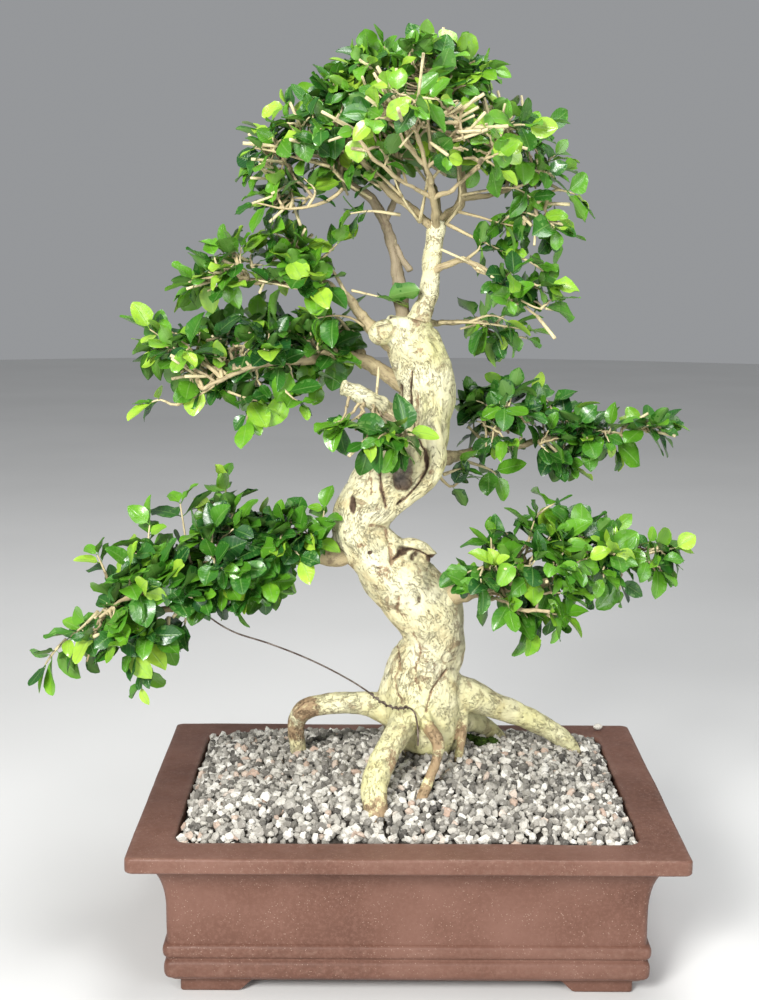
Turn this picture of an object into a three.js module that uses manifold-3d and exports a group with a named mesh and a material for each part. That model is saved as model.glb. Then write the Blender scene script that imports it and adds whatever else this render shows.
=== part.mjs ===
// A privet bonsai in a rectangular stoneware pot, as a three.js scene graph of closed solids.
// Millimetres, +Z up, front towards -Y. Everything is drawn about the middle of the pot's base,
// and the whole group is then set so that its box is centred over the origin and stands on z = 0.
import * as THREE from "three";
import { mergeVertices } from "three/addons/utils/BufferGeometryUtils.js";
import Module from "manifold-3d";

// ---- Driving sizes -------------------------------------------------------------------------
const CLEARANCE = 0.3; // gap between touching pieces
const POT_JOINT = 0.05; // gap between the plain pieces that the one-piece pot is drawn in

// Pot, over the rim
const POT_LENGTH = 305;
const POT_DEPTH = 229;
const POT_HEIGHT = 89;

// Rim: a square band with softened edges
const RIM_WIDTH = 24; // flat top, from the outer face to the mouth
const RIM_HEIGHT = 9;
const RIM_EDGE = 1.6; // softening of the rim's edges
const RIM_OVERHANG = 6.5; // from the rim's outer face to where the cove starts

// Body below the rim, all set back from the rim's outer face
const BODY_SETBACK = 19.5;
const COVE_HEIGHT = 30; // the curved stretch from the rim down to the plain wall
const BASE_SETBACK = 21; // under the lower bead
const FLOOR_THICKNESS = 9;
const MOUTH_TAPER = 5; // how much further in the inner wall is at the floor
const OUTER_CORNER = 4; // corner radius outside
const INNER_CORNER = 10; // corner radius inside

// Two raised beads round the foot of the body: height of the middle above the body's underside
const UPPER_BEAD = { middle: 17.5, radius: 4.2, proud: 2 };
const LOWER_BEAD = { middle: 6.5, radius: 5.2, proud: 1.6 };

// Cloud-shaped corner feet
const FOOT_HEIGHT = 9.5;
const FOOT_SETBACK = 26; // from the rim's outer face
const FOOT_WALL = 15; // thickness of each leg of the L
const FOOT_FLAT = 32; // the full-height stretch from the corner
const FOOT_CURVE = 10; // the S-curve up from it
const FOOT_STRIP = 20; // the shallow stretch beyond
const STRIP_DROP = 2.5;

// Drain holes with their screens and wire clips
const DRAIN_RADIUS = 13;
const DRAIN_OFFSET = 72; // along X, to each side of the middle
const SCREEN_SIDE = 40;
const SCREEN_THICKNESS = 1.2;
const SCREEN_HOLES = 4; // along each side
const SCREEN_BAR = 2.6; // width of the bars between them
const CLIP_WIRE = 1.5; // diameter
const CLIP_REACH = 21; // how far each leg runs out under the floor

// Soil and the gravel on it
const GRAVEL_THICKNESS = 12;
const GRAVEL_DROP = 2; // below the rim's top at the wall
const GRAVEL_RISE = 14; // of the broad heap
const MOUND_RISE = 11; // extra height round the trunk
const MOUND_LENGTH = 60;
const MOUND_DEPTH = 42;

// Wood
const TREE_PLACE = new THREE.Vector3(0, 0, 0); // of the tree against the middle of the pot
const TREE_HEIGHT = 443; // from the rim's top to the highest leaves
const DRAWN_HEIGHT = 443; // the height at which the limbs' points below were taken
const DRAWN_LENGTH = 305; // and the pot's length and depth, which the roots spread with
const DRAWN_DEPTH = 229;
const TRUNK_GIRTH = 1; // thickness of the trunk and roots against the points below
const WIRE_DIAMETER = 1.2;
const PEBBLE_RADIUS = 2.9;
const PEBBLE_SHAPE = [1.15, 0.9, 0.8]; // its radius along each axis, against PEBBLE_RADIUS
const PEBBLE_INWARDS = 0.9; // how far in over the rim it lies, against the rim's width

// Fineness of the round parts
const POT_CORNER_STEPS = 3;
const FILL_CORNER_STEPS = 2;
const FILL_SIDE_STEPS = 5;
const COVE_STEPS = 4;
const DRAIN_SIDES = 20;
const FOOT_CURVE_STEPS = 5;
const WIRE_SIDES = 6;
const CLIP_STEPS = 32;
const GUY_STEPS = 38;
const TRUNK_SIDES = 12;
const TRUNK_STEPS = 26;
const ROOT_STEPS = 8;
const THICK_STEM = 5; // radius above which a stem has more sides
const THICK_SIDES = 8;
const THIN_SIDES = 6;
const STEPS_PER_POINT = 1.2;
const LEAST_STEPS = 4;

// ---- Limbs: hand-chosen points, [x, y, height above the rim, radius] -----------------------
const TRUNK = [
  [14, 10, -14, 18], [13, 9, 22, 19], [12, 5, 37, 23], [9, 2, 56, 24.5], [11, 0, 74, 21.5],
  [15, 0, 85, 19], [16, -1, 95, 18.4], [12, -3, 109, 21], [2, -6, 122, 20], [-9, -9, 134, 19.3],
  [-20, -11, 147, 16.4], [-28, -12, 159, 15.6], [-27, -12, 170, 16.4], [-20, -11, 178, 17.9],
  [-13, -8, 187, 19.1], [-5, -5, 195, 19.7], [1, -2, 205, 19.8], [4, 0, 215, 19], [7, 1, 225, 17.6],
  [10, 1, 236, 16.5], [8, 1, 251, 16.8], [4, 0, 263, 16.4], [0, -1, 272, 15], [1, -1, 281, 12.6],
];
const ROOTS = {
  left: [[-4, 0, 46, 12], [-26, 2, 50, 7], [-48, 6, 48, 6], [-61, 9, 44, 6], [-66, 12, 34, 5.6],
    [-66, 15, 20, 5.4], [-64, 18, 2, 4.5]],
  front: [[2, -8, 52, 11], [-3, -24, 44, 8.4], [-12, -42, 33, 7.6], [-18, -57, 22, 7.4],
    [-18, -67, 11, 6.8], [-16, -72, 0, 5.4]],
  frontRight: [[6, -14, 54, 7], [12, -27, 46, 4.3], [18, -33, 38, 3.9], [17, -40, 30, 3.6],
    [12, -50, 20, 3.5], [7, -59, 9, 3.5], [5, -62, 0, 2.8]],
  right: [[18, 0, 58, 16], [36, 5, 54, 11], [52, 12, 47, 8], [74, 23, 35, 6.9], [92, 32, 23, 6.2],
    [103, 39, 12, 6], [108, 44, 0, 5.2]],
  small: [[32, -4, 50, 5], [34, -5, 40, 3], [33, -9, 31, 2.4], [31, -11, 16, 2.2]],
  back: [[14, 10, 44, 14], [6, 34, 34, 8.5], [-4, 54, 20, 7], [-8, 66, 4, 5.5]],
  backRight: [[22, 8, 40, 11], [44, 34, 28, 6.5], [58, 50, 14, 5.4], [64, 58, 2, 4.5]],
};
const LEADERS = {
  leader_right: [[[2, -2, 272, 9], [7, -2, 284, 6.4], [11, -2, 296, 5.6], [12.5, -1, 314, 5.3],
    [14.5, -1, 331, 5.2], [15, -1, 336, 4.6]]],
  leader_left: [
    [[-3, 4, 272, 6], [-4, 5, 284, 4.2], [-7, 8, 306, 3.5], [-9, 9, 318, 3.2], [-14, 11, 335, 3.2],
      [-22, 12, 348, 2.6], [-37, 8, 358, 2], [-46, 0, 366, 1.4]],
  ],
};
const BRANCHES = {
  branch_lower_left: [
    [[-24, -12, 150, 8], [-42, -14, 143, 6], [-52, -16, 144, 4.6], [-72, -18, 145, 4],
      [-88, -22, 140, 3.7], [-108, -28, 131, 3.4], [-130, -34, 121, 2.9], [-143, -40, 115, 2.4],
      [-147, -44, 104, 1.6]],
    [[-88, -22, 140, 2.6], [-99, 0, 147, 1.8], [-112, 22, 152, 1.2]],
    [[-130, -34, 121, 2.2], [-154, -50, 128, 1.7], [-172, -58, 118, 1.1]],
  ],
  branch_lower_right: [
    [[16, -8, 116, 8], [32, -14, 122, 6], [42, -19, 125, 4.6], [53, -24, 128, 3.7],
      [67, -26, 130, 3.2], [87, -26, 133, 2.6], [111, -22, 140, 2], [135, -14, 145, 1.5],
      [149, -10, 151, 1.2]],
    [[53, -24, 128, 2.6], [69, -4, 138, 1.8], [86, 14, 144, 1.4]],
    [[53, -24, 128, 2.6], [58, -43, 123, 1.7], [78, -55, 121, 1.1]],
  ],
  branch_middle_right: [
    [[6, 4, 197, 8], [20, 14, 197, 5.6], [31, 30, 197, 3.8], [48, 44, 198, 3.1], [67, 52, 200, 2.5],
      [84, 56, 203, 2.2], [105, 60, 204, 1.9], [130, 62, 205, 1.5], [150, 64, 209, 1.2]],
    [[48, 44, 198, 2.4], [58, 60, 210, 1.9], [76, 74, 215, 1.4]],
  ],
  branch_stub: [[[2, -4, 212, 9], [-8, -16, 224, 7.4], [-15, -21, 231, 6.6], [-21, -26, 236, 5.6],
    [-30, -30, 241, 4.8], [-38, -33, 244, 4]]],
  branch_middle_left: [
    [[4, 2, 238, 7], [-10, 7, 246, 5.6], [-22, 10, 253, 4.7], [-34, 6, 258, 4.1], [-46, 0, 260, 3.5],
      [-59, -8, 257, 3.1], [-78, -18, 257, 2.3], [-98, -28, 251, 1.6], [-115, -34, 243, 1.2]],
    [[-27, 9, 256, 4], [-32, 18, 266, 3.5], [-42, 34, 272, 2.6], [-66, 46, 274, 2], [-96, 56, 272, 1.4]],
  ],
  branch_upper_left: [
    [[-2, -1, 262, 8], [-14, -4, 270, 6.6], [-23, -7, 277, 5], [-28, -9, 283, 3.7],
      [-33, -12, 291, 3.1], [-41, -13, 296, 2.5], [-53, -14, 299, 2], [-70, -16, 300, 1.7],
      [-90, -18, 303, 1.4]],
    [[-41, -13, 296, 2.4], [-52, -6, 304, 2.1], [-62, 2, 312, 1.7], [-70, 8, 326, 1.1]],
  ],
  branch_small_right: [[[13, -3, 308, 3], [20, -8, 311, 2.2], [28, -13, 314, 1.8],
    [36, -20, 312, 1.5], [47, -27, 306, 1.1]]],
  branch_small_back: [[[6, 4, 276, 6], [14, 12, 277, 2.6], [27, 22, 277, 1.7], [40, 33, 277, 1.3]]],
  branch_crown_right: [
    [[15, -1, 333, 4.4], [21, 2, 339, 4], [29, 4, 348, 3.7], [29, 8, 367, 3.1], [27, 6, 389, 2.4],
      [23, 2, 406, 1.7]],
    [[29, 4, 348, 2.6], [44, 2, 351, 2.1], [59, 0, 356, 1.6], [74, -6, 366, 1.1]],
  ],
  branch_crown_left: [[[13, -2, 332, 4], [2, -8, 341, 3.1], [-12, -16, 352, 2.8], [-25, -24, 367, 2.2],
    [-34, -32, 379, 1.6]]],
  branch_crown_front: [[[15, -3, 332, 3.6], [12, -24, 348, 2.7], [8, -42, 364, 2.1], [2, -54, 382, 1.4]]],
  branch_crown_back: [[[16, 1, 332, 3.6], [16, 24, 348, 2.9], [8, 44, 368, 2.2], [-4, 54, 392, 1.5]]],
};
// Leaf masses: lumps as [x, y, height above the rim, half sizes along x, y and z]
const LEAVES = {
  leaves_lower_left: [
    [-66, -20, 153, 26, 38, 20], [-102, -18, 142, 32, 48, 34], [-140, -32, 126, 34, 44, 30],
    [-170, -42, 104, 30, 32, 28], [-191, -42, 90, 20, 20, 17],
  ],
  leaves_lower_right: [
    [44, -44, 134, 24, 20, 20], [70, -24, 136, 34, 38, 36], [104, -14, 140, 34, 42, 34],
    [143, -16, 142, 26, 26, 20],
  ],
  leaves_middle_right: [
    [58, 50, 214, 28, 34, 28], [92, 60, 204, 36, 34, 22], [132, 62, 205, 24, 18, 11],
    [152, 64, 209, 16, 12, 8],
  ],
  leaves_middle_left: [
    [-54, 20, 262, 26, 38, 20], [-84, 10, 256, 36, 54, 30], [-116, 2, 256, 34, 48, 26],
    [-136, 0, 260, 18, 30, 18],
  ],
  leaves_stub: [[-38, -44, 220, 16, 13, 10], [-20, -48, 214, 15, 13, 13], [-6, -46, 206, 12, 11, 13]],
  leaves_upper_left: [
    [-98, -16, 309, 22, 24, 17], [-74, -4, 318, 20, 26, 19], [-114, -18, 299, 18, 18, 10],
    [-58, -12, 302, 20, 22, 10],
  ],
  leaves_small_right: [[56, -30, 300, 15, 13, 12], [70, -32, 290, 14, 12, 18]],
  leaves_small_back: [[44, 36, 274, 20, 16, 9], [62, 46, 268, 16, 12, 7]],
  leaves_crown_top: [[4, 2, 414, 58, 56, 29], [-14, 0, 398, 56, 48, 24]],
  leaves_crown_left: [[-48, -6, 382, 38, 48, 28], [-74, -2, 370, 22, 34, 18], [-72, -6, 344, 26, 14, 9]],
  leaves_crown_right: [
    [56, 0, 382, 38, 46, 30], [80, -6, 362, 22, 34, 22], [78, -10, 336, 20, 24, 20],
  ],
  leaves_crown_front: [[0, -54, 386, 52, 36, 28], [34, -50, 372, 28, 28, 20]],
  leaves_crown_back: [[6, 54, 386, 54, 38, 30], [-30, 44, 374, 34, 34, 20]],
};
// The training wire: over the lower left branch, down to the foot of the trunk, round the front root
const WIRE_ROUTE = [
  [-127, -29, 122.5], [-126, -33, 126.9], [-125, -36.9, 123.3], [-124, -32.4, 119.6],
  [-123, -28.2, 124], [-122, -32, 128.7], [-121, -36, 125], [-119, -36.8, 119.5],
  [-112, -36.3, 112], [-99, -36, 104], [-80, -36, 97.7], [-62, -36, 90.7], [-47, -37, 84],
  [-33, -38, 76.6], [-23, -38, 70], [-17, -36, 64.4], [-10, -34, 59.6], [-4, -31, 57.5],
  [1, -27, 56.8], [4.5, -28, 54], [6, -32, 49], [6.5, -35, 43], [6.5, -36.5, 37],
];

// ---- Derived sizes -------------------------------------------------------------------------
const bodyBottom = FOOT_HEIGHT;
const floorTop = bodyBottom + FLOOR_THICKNESS;
const rimUnder = POT_HEIGHT - RIM_HEIGHT;
const treeScale = TREE_HEIGHT / DRAWN_HEIGHT;
const rootReach = new THREE.Vector2(POT_LENGTH / DRAWN_LENGTH, POT_DEPTH / DRAWN_DEPTH);

// ---- Tools: three.js geometry to solids and back -------------------------------------------
const wasm = await Module();
wasm.setup();

function solidOf(geometry) {
  const bare = geometry.clone();
  bare.deleteAttribute("normal");
  bare.deleteAttribute("uv");
  const merged = mergeVertices(bare, 1e-3);
  return new wasm.Manifold(
    new wasm.Mesh({
      numProp: 3,
      vertProperties: merged.attributes.position.array,
      triVerts: new Uint32Array(merged.index.array),
    }),
  );
}

function geometryOf(solid) {
  const { vertProperties, triVerts } = solid.getMesh();
  const geometry = new THREE.BufferGeometry();
  geometry.setAttribute("position", new THREE.BufferAttribute(vertProperties, 3));
  geometry.setIndex(new THREE.BufferAttribute(triVerts, 1));
  geometry.computeVertexNormals();
  return geometry;
}

const join = (solids) => solids.reduce((whole, next) => whole.add(next));
const cut = (solid, tools) => tools.reduce((left, tool) => left.subtract(tool), solid);

function movePoints(geometry, change) {
  const place = geometry.attributes.position;
  const point = new THREE.Vector3();
  for (let i = 0; i < place.count; i++) {
    change(point.fromBufferAttribute(place, i), i);
    place.setXYZ(i, point.x, point.y, point.z);
  }
  return geometry;
}

// ---- Pot -----------------------------------------------------------------------------------
// A turned profile whose rings are rounded rectangles: each profile point is set back from the
// rim's outer face by `back`, with corner radius `corner`, at height `z` (a number or z(x, y)).
function rectangularTurning(profile, cornerSteps, sideSteps) {
  const outline = [];
  for (let corner = 0; corner < 4; corner++) {
    for (let step = 0; step <= cornerSteps; step++) {
      outline.push({ corner, turn: (corner + step / cornerSteps) * (Math.PI / 2), along: 0 });
    }
    for (let step = 1; step < sideSteps; step++) {
      outline.push({ corner, turn: (corner + 1) * (Math.PI / 2), along: step / sideSteps });
    }
  }
  const cornerCentre = (corner, point) => {
    const x = POT_LENGTH / 2 - point.back - point.corner;
    const y = POT_DEPTH / 2 - point.back - point.corner;
    return new THREE.Vector2(corner === 0 || corner === 3 ? x : -x, corner < 2 ? y : -y);
  };
  const columns = outline.length;
  const blank = new THREE.LatheGeometry(
    profile.map((point, row) => new THREE.Vector2(point.axis ? 0 : 1, row)),
    columns,
  );
  return movePoints(blank, (vertex, i) => {
    const row = i % profile.length;
    const column = outline[Math.floor(i / profile.length) % columns];
    const point = profile[row];
    if (point.axis) {
      vertex.set(0, 0, 0);
    } else {
      const from = cornerCentre(column.corner, point);
      const to = cornerCentre((column.corner + 1) % 4, point);
      from.lerp(to, column.along);
      vertex.x = from.x + point.corner * Math.cos(column.turn);
      vertex.y = from.y + point.corner * Math.sin(column.turn);
    }
    vertex.z = typeof point.z === "function" ? point.z(vertex.x, vertex.y) : point.z;
  });
}

const outside = (back, z) => ({ back, z, corner: OUTER_CORNER });
const inside = (back, z) => ({ back, z, corner: INNER_CORNER });
const onAxis = (z) => ({ axis: true, z });

function beadPoints(bead) {
  return [-1, -0.5, 0.5, 1].map((share) => {
    const swell = bead.proud * Math.sqrt(1 - share * share);
    return outside(BODY_SETBACK - swell, bodyBottom + bead.middle + share * bead.radius);
  });
}

function covePoints(steps) {
  return Array.from({ length: steps + 1 }, (_, step) => {
    const turn = (step / steps) * (Math.PI / 2);
    return outside(
      BODY_SETBACK - (BODY_SETBACK - RIM_OVERHANG) * (1 - Math.cos(turn)),
      rimUnder - COVE_HEIGHT * (1 - Math.sin(turn)),
    );
  });
}

// One leg of a cloud foot, drawn from the corner outwards along `direction`.
function footLeg(direction) {
  const end = FOOT_FLAT + FOOT_CURVE + FOOT_STRIP;
  const stripUnder = FOOT_HEIGHT - STRIP_DROP;
  const top = FOOT_HEIGHT - POT_JOINT;
  const outline = new THREE.Shape();
  outline.moveTo(0, 0);
  outline.lineTo(direction * FOOT_FLAT, 0);
  outline.bezierCurveTo(
    direction * (FOOT_FLAT + FOOT_CURVE / 2), 0,
    direction * (FOOT_FLAT + FOOT_CURVE / 2), stripUnder,
    direction * (FOOT_FLAT + FOOT_CURVE), stripUnder,
  );
  outline.lineTo(direction * end, stripUnder);
  outline.lineTo(direction * end, top);
  outline.lineTo(0, top);
  return new THREE.ExtrudeGeometry(outline, {
    depth: FOOT_WALL,
    bevelEnabled: false,
    curveSegments: FOOT_CURVE_STEPS,
  });
}

function foot(sideX, sideY) {
  const x = sideX * (POT_LENGTH / 2 - FOOT_SETBACK);
  const y = sideY * (POT_DEPTH / 2 - FOOT_SETBACK);
  const alongX = footLeg(-sideX).rotateX(Math.PI / 2);
  alongX.translate(x, sideY > 0 ? y : y + FOOT_WALL, 0);
  const alongY = footLeg(-sideY).rotateX(Math.PI / 2).rotateZ(Math.PI / 2);
  alongY.translate(sideX > 0 ? x - FOOT_WALL : x, y, 0);
  return solidOf(alongX).add(solidOf(alongY));
}

function drainHole(sideX) {
  const hole = new THREE.CylinderGeometry(DRAIN_RADIUS, DRAIN_RADIUS, 3 * FLOOR_THICKNESS, DRAIN_SIDES);
  hole.rotateX(Math.PI / 2).translate(sideX * DRAIN_OFFSET, 0, bodyBottom);
  return solidOf(hole);
}

// The pot is fired in one piece. It is drawn as its walls, floor and feet, each a plain shape.
function potWalls() {
  const floorEdge = RIM_WIDTH + MOUTH_TAPER - POT_JOINT;
  return solidOf(
    rectangularTurning(
      [
        inside(floorEdge, bodyBottom),
        outside(BASE_SETBACK, bodyBottom),
        ...beadPoints(LOWER_BEAD),
        ...beadPoints(UPPER_BEAD),
        ...covePoints(COVE_STEPS),
        outside(RIM_EDGE, rimUnder),
        outside(0, rimUnder + RIM_EDGE),
        outside(0, POT_HEIGHT - RIM_EDGE),
        outside(RIM_EDGE, POT_HEIGHT),
        inside(RIM_WIDTH - RIM_EDGE, POT_HEIGHT),
        inside(RIM_WIDTH, POT_HEIGHT - RIM_EDGE),
        inside(floorEdge, floorTop),
        inside(floorEdge, bodyBottom),
      ],
      POT_CORNER_STEPS,
      1,
    ),
  );
}

function potFloor() {
  const floorEdge = RIM_WIDTH + MOUTH_TAPER;
  const slab = solidOf(
    rectangularTurning(
      [
        onAxis(bodyBottom),
        inside(floorEdge, bodyBottom),
        inside(floorEdge, floorTop),
        onAxis(floorTop),
      ],
      POT_CORNER_STEPS,
      1,
    ),
  );
  return cut(slab, [drainHole(1), drainHole(-1)]);
}

const screenPitch = (SCREEN_SIDE - SCREEN_BAR) / SCREEN_HOLES;

function drainScreen(sideX) {
  const bars = [];
  for (let line = 0; line <= SCREEN_HOLES; line++) {
    const across = line * screenPitch - (SCREEN_SIDE - SCREEN_BAR) / 2;
    const alongX = new THREE.BoxGeometry(SCREEN_SIDE, SCREEN_BAR, SCREEN_THICKNESS);
    const alongY = new THREE.BoxGeometry(SCREEN_BAR, SCREEN_SIDE, SCREEN_THICKNESS);
    bars.push(solidOf(alongX.translate(0, across, 0)), solidOf(alongY.translate(across, 0, 0)));
  }
  const height = floorTop + CLEARANCE + SCREEN_THICKNESS / 2;
  return geometryOf(join(bars)).translate(sideX * DRAIN_OFFSET, 0, height);
}

// A bent wire that holds a screen down: out under the floor, up through the hole and the screen,
// across, and down again.
function screenClip(sideX) {
  const leg = screenPitch / 2; // each leg goes up through the hole beside the screen's middle bar
  const under = bodyBottom - CLEARANCE - CLIP_WIRE / 2;
  const over = floorTop + SCREEN_THICKNESS + 4 * CLEARANCE + CLIP_WIRE / 2;
  const bend = 2 * CLIP_WIRE; // inside each right-angled bend
  const half = [
    [CLIP_REACH, under], [leg + bend, under], [leg + bend / 3, under + bend / 6], [leg, under + bend],
    [leg, over - bend], [leg - bend / 5, over - bend / 4], [leg - bend, over],
  ];
  const points = [...half, ...half.map(([x, z]) => [-x, z]).reverse()];
  const route = curveThrough(
    points.map(([x, z]) => new THREE.Vector3(sideX * DRAIN_OFFSET + x, leg, z)),
  );
  return wireAlong(route, CLIP_WIRE, CLIP_STEPS, WIRE_SIDES);
}

const curveThrough = (points) => new THREE.CatmullRomCurve3(points, false, "centripetal");

function wireAlong(route, diameter, steps, sides) {
  const section = new THREE.Shape();
  section.absarc(0, 0, diameter / 2, 0, 2 * Math.PI);
  // a full circle is drawn with twice its curveSegments
  return new THREE.ExtrudeGeometry(section, { steps, extrudePath: route, curveSegments: sides / 2 });
}

// ---- Soil and gravel -----------------------------------------------------------------------
// Height of the gravel's top: a broad heap that falls to the walls, with a mound round the trunk.
function gravelTop(x, y) {
  const wallX = POT_LENGTH / 2 - RIM_WIDTH;
  const wallY = POT_DEPTH / 2 - RIM_WIDTH;
  const heap = (1 - Math.abs(x / wallX) ** 8) * (1 - Math.abs(y / wallY) ** 6);
  const fromTrunkX = (x - TREE_PLACE.x - TRUNK[1][0]) / MOUND_LENGTH;
  const fromTrunkY = (y - TREE_PLACE.y - TRUNK[1][1]) / MOUND_DEPTH;
  const mound = Math.exp(-(fromTrunkX ** 2) - fromTrunkY ** 2);
  return POT_HEIGHT - GRAVEL_DROP + GRAVEL_RISE * heap + MOUND_RISE * mound;
}

// How far in from the rim's outer face the pot's inner wall is at height z, with the clearance.
function innerSetback(z) {
  const depth = Math.max(0, (POT_HEIGHT - RIM_EDGE - z) / (POT_HEIGHT - RIM_EDGE - floorTop));
  return RIM_WIDTH + MOUTH_TAPER * depth + CLEARANCE;
}

const TOP_RINGS = [9, 26, 46, 68]; // rings on the top surface, further in from the wall

// What fills the pot from its floor up to the surface `topOf`, or that block `wider` all round with
// the very same facets inside it.
function fill(topOf, wallTop, wider = 0) {
  const bottom = floorTop + CLEARANCE - wider;
  const edge = innerSetback(wallTop);
  const rings = wider > 0 ? [0, ...TOP_RINGS] : TOP_RINGS;
  const profile = [
    onAxis(bottom),
    inside(innerSetback(floorTop) - wider, bottom),
    inside(edge - wider, topOf),
    ...rings.map((ring) => inside(edge + ring, topOf)),
    onAxis(topOf),
  ];
  return solidOf(rectangularTurning(profile, FILL_CORNER_STEPS, FILL_SIDE_STEPS));
}

const soilTop = (x, y) => gravelTop(x, y) - GRAVEL_THICKNESS;
const gravelBottom = (x, y) => soilTop(x, y) + CLEARANCE;
const gravelWallTop = POT_HEIGHT - GRAVEL_DROP;
const soilWallTop = gravelWallTop - GRAVEL_THICKNESS;

function soil(wood) {
  const pocketHeight = 2 * (SCREEN_THICKNESS + CLIP_WIRE + 6 * CLEARANCE);
  const pockets = [1, -1].map((sideX) => {
    const side = SCREEN_SIDE + 2 * CLEARANCE;
    const pocket = new THREE.BoxGeometry(side, side, pocketHeight);
    return solidOf(pocket.translate(sideX * DRAIN_OFFSET, 0, floorTop));
  });
  return cut(fill(soilTop, soilWallTop), [...pockets, wood]);
}

function gravel(wood) {
  return cut(fill(gravelTop, gravelWallTop), [fill(gravelBottom, soilWallTop, 1), wood]);
}

// ---- Wood ----------------------------------------------------------------------------------
// A limb's points as places in the tree: roots spread with the pot, the rest keeps its shape.
function treePoint([x, y, height], isRoot) {
  const spread = isRoot ? rootReach : new THREE.Vector2(treeScale, treeScale);
  return new THREE.Vector3(
    TREE_PLACE.x + x * spread.x,
    TREE_PLACE.y + y * spread.y,
    POT_HEIGHT + TREE_PLACE.z + height * (isRoot || height < 0 ? 1 : treeScale),
  );
}

const THIN = 0.5; // radius at which a limb's rings are first drawn

// A tapering limb: a thin tube along the curve, each ring then grown to the limb's radius there.
function limb(points, { sides, steps, grow = 0, isRoot = false, girth = treeScale }) {
  const route = curveThrough(points.map((point) => treePoint(point, isRoot)));
  const tube = wireAlong(route, 2 * THIN, steps, sides);
  const centres = route.getSpacedPoints(steps);
  const radii = centres.map((_, step) => {
    const place = route.getUtoTmapping(step / steps) * (points.length - 1);
    const before = Math.min(Math.floor(place), points.length - 2);
    return THREE.MathUtils.lerp(points[before][3], points[before + 1][3], place - before) * girth + grow;
  });
  return solidOf(
    movePoints(tube, (vertex) => {
      let nearest = 0;
      centres.forEach((centre, step) => {
        if (centre.distanceToSquared(vertex) < centres[nearest].distanceToSquared(vertex)) nearest = step;
      });
      vertex.sub(centres[nearest]).multiplyScalar(radii[nearest] / THIN).add(centres[nearest]);
    }),
  );
}

function trunkAndRoots(grow = 0) {
  const girth = TRUNK_GIRTH * treeScale;
  const trunk = limb(TRUNK, { sides: TRUNK_SIDES, steps: TRUNK_STEPS, grow, girth });
  const roots = Object.values(ROOTS).map((points) =>
    limb(points, { sides: THIN_SIDES, steps: ROOT_STEPS, grow, isRoot: true, girth: TRUNK_GIRTH }),
  );
  return join([trunk, ...roots]);
}

// Fineness of a stem: more rings along a long one, more sides on a thick one.
function stem(limbs, grow = 0) {
  return join(
    limbs.map((points) => {
      const steps = Math.max(LEAST_STEPS, Math.round(points.length * STEPS_PER_POINT));
      const isThick = points[0][3] > THICK_STEM;
      return limb(points, { sides: isThick ? THICK_SIDES : THIN_SIDES, steps, grow });
    }),
  );
}

// ---- Leaves --------------------------------------------------------------------------------
const LUMP_REACH = 1.05; // a faceted ball's flats lie a little inside its corners

function leafMass(lumps, grow = 0) {
  return join(
    lumps.map(([x, y, height, halfX, halfY, halfZ]) => {
      const lump = new THREE.IcosahedronGeometry(1, 1);
      const reach = (half) => half * LUMP_REACH * treeScale + grow;
      lump.scale(reach(halfX), reach(halfY), reach(halfZ));
      const middle = treePoint([x, y, height], false);
      return solidOf(lump.translate(middle.x, middle.y, middle.z));
    }),
  );
}

// The largest piece of a solid that a cut may have parted.
const larger = (best, piece) => (piece.volume() > best.volume() ? piece : best);
const largest = (solid) => solid.decompose().reduce(larger);

// ---- Small things --------------------------------------------------------------------------
function guyWire(grow = 0) {
  const route = curveThrough(WIRE_ROUTE.map((point) => treePoint(point, false)));
  return solidOf(wireAlong(route, WIRE_DIAMETER + 2 * grow, GUY_STEPS, WIRE_SIDES));
}

function pebble() {
  const stone = new THREE.IcosahedronGeometry(PEBBLE_RADIUS, 1).scale(...PEBBLE_SHAPE);
  const x = POT_LENGTH / 2 - RIM_WIDTH * PEBBLE_INWARDS;
  const y = POT_DEPTH / 2 - RIM_WIDTH / 2;
  return stone.translate(x, y, POT_HEIGHT + CLEARANCE + PEBBLE_RADIUS * PEBBLE_SHAPE[2]);
}

// ---- Assembly ------------------------------------------------------------------------------
const finish = (colour, roughness, metalness = 0) =>
  new THREE.MeshStandardMaterial({ color: colour, roughness, metalness });
const MATERIALS = {
  stoneware: finish(0x6b4438, 0.62),
  gravel: finish(0xb5aea6, 0.85),
  soil: finish(0x2c2119, 0.95),
  bark: finish(0xcbbd9c, 0.75),
  twig: finish(0xa58f6a, 0.75),
  leaf: finish(0x3f8a22, 0.35),
  wire: finish(0x4a4038, 0.45, 1),
  mesh: finish(0x22262a, 0.6),
};

const tree = new THREE.Group();
function add(name, shape, material) {
  const geometry = shape.isBufferGeometry ? shape : geometryOf(shape);
  const mesh = new THREE.Mesh(geometry, MATERIALS[material]);
  mesh.name = name;
  tree.add(mesh);
}

const trunkSolid = trunkAndRoots();
const roundTrunk = trunkAndRoots(CLEARANCE);

add("pot_walls", potWalls(), "stoneware");
add("pot_floor", potFloor(), "stoneware");
add("pot_foot_front_left", foot(-1, -1), "stoneware");
add("pot_foot_front_right", foot(1, -1), "stoneware");
add("pot_foot_back_left", foot(-1, 1), "stoneware");
add("pot_foot_back_right", foot(1, 1), "stoneware");
add("drain_screen_left", drainScreen(-1), "mesh");
add("drain_screen_right", drainScreen(1), "mesh");
add("screen_clip_left", screenClip(-1), "wire");
add("screen_clip_right", screenClip(1), "wire");
add("potting_soil", soil(roundTrunk), "soil");
add("gravel_top_dressing", gravel(roundTrunk), "gravel");
add("trunk_and_surface_roots", trunkSolid, "bark");

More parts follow.
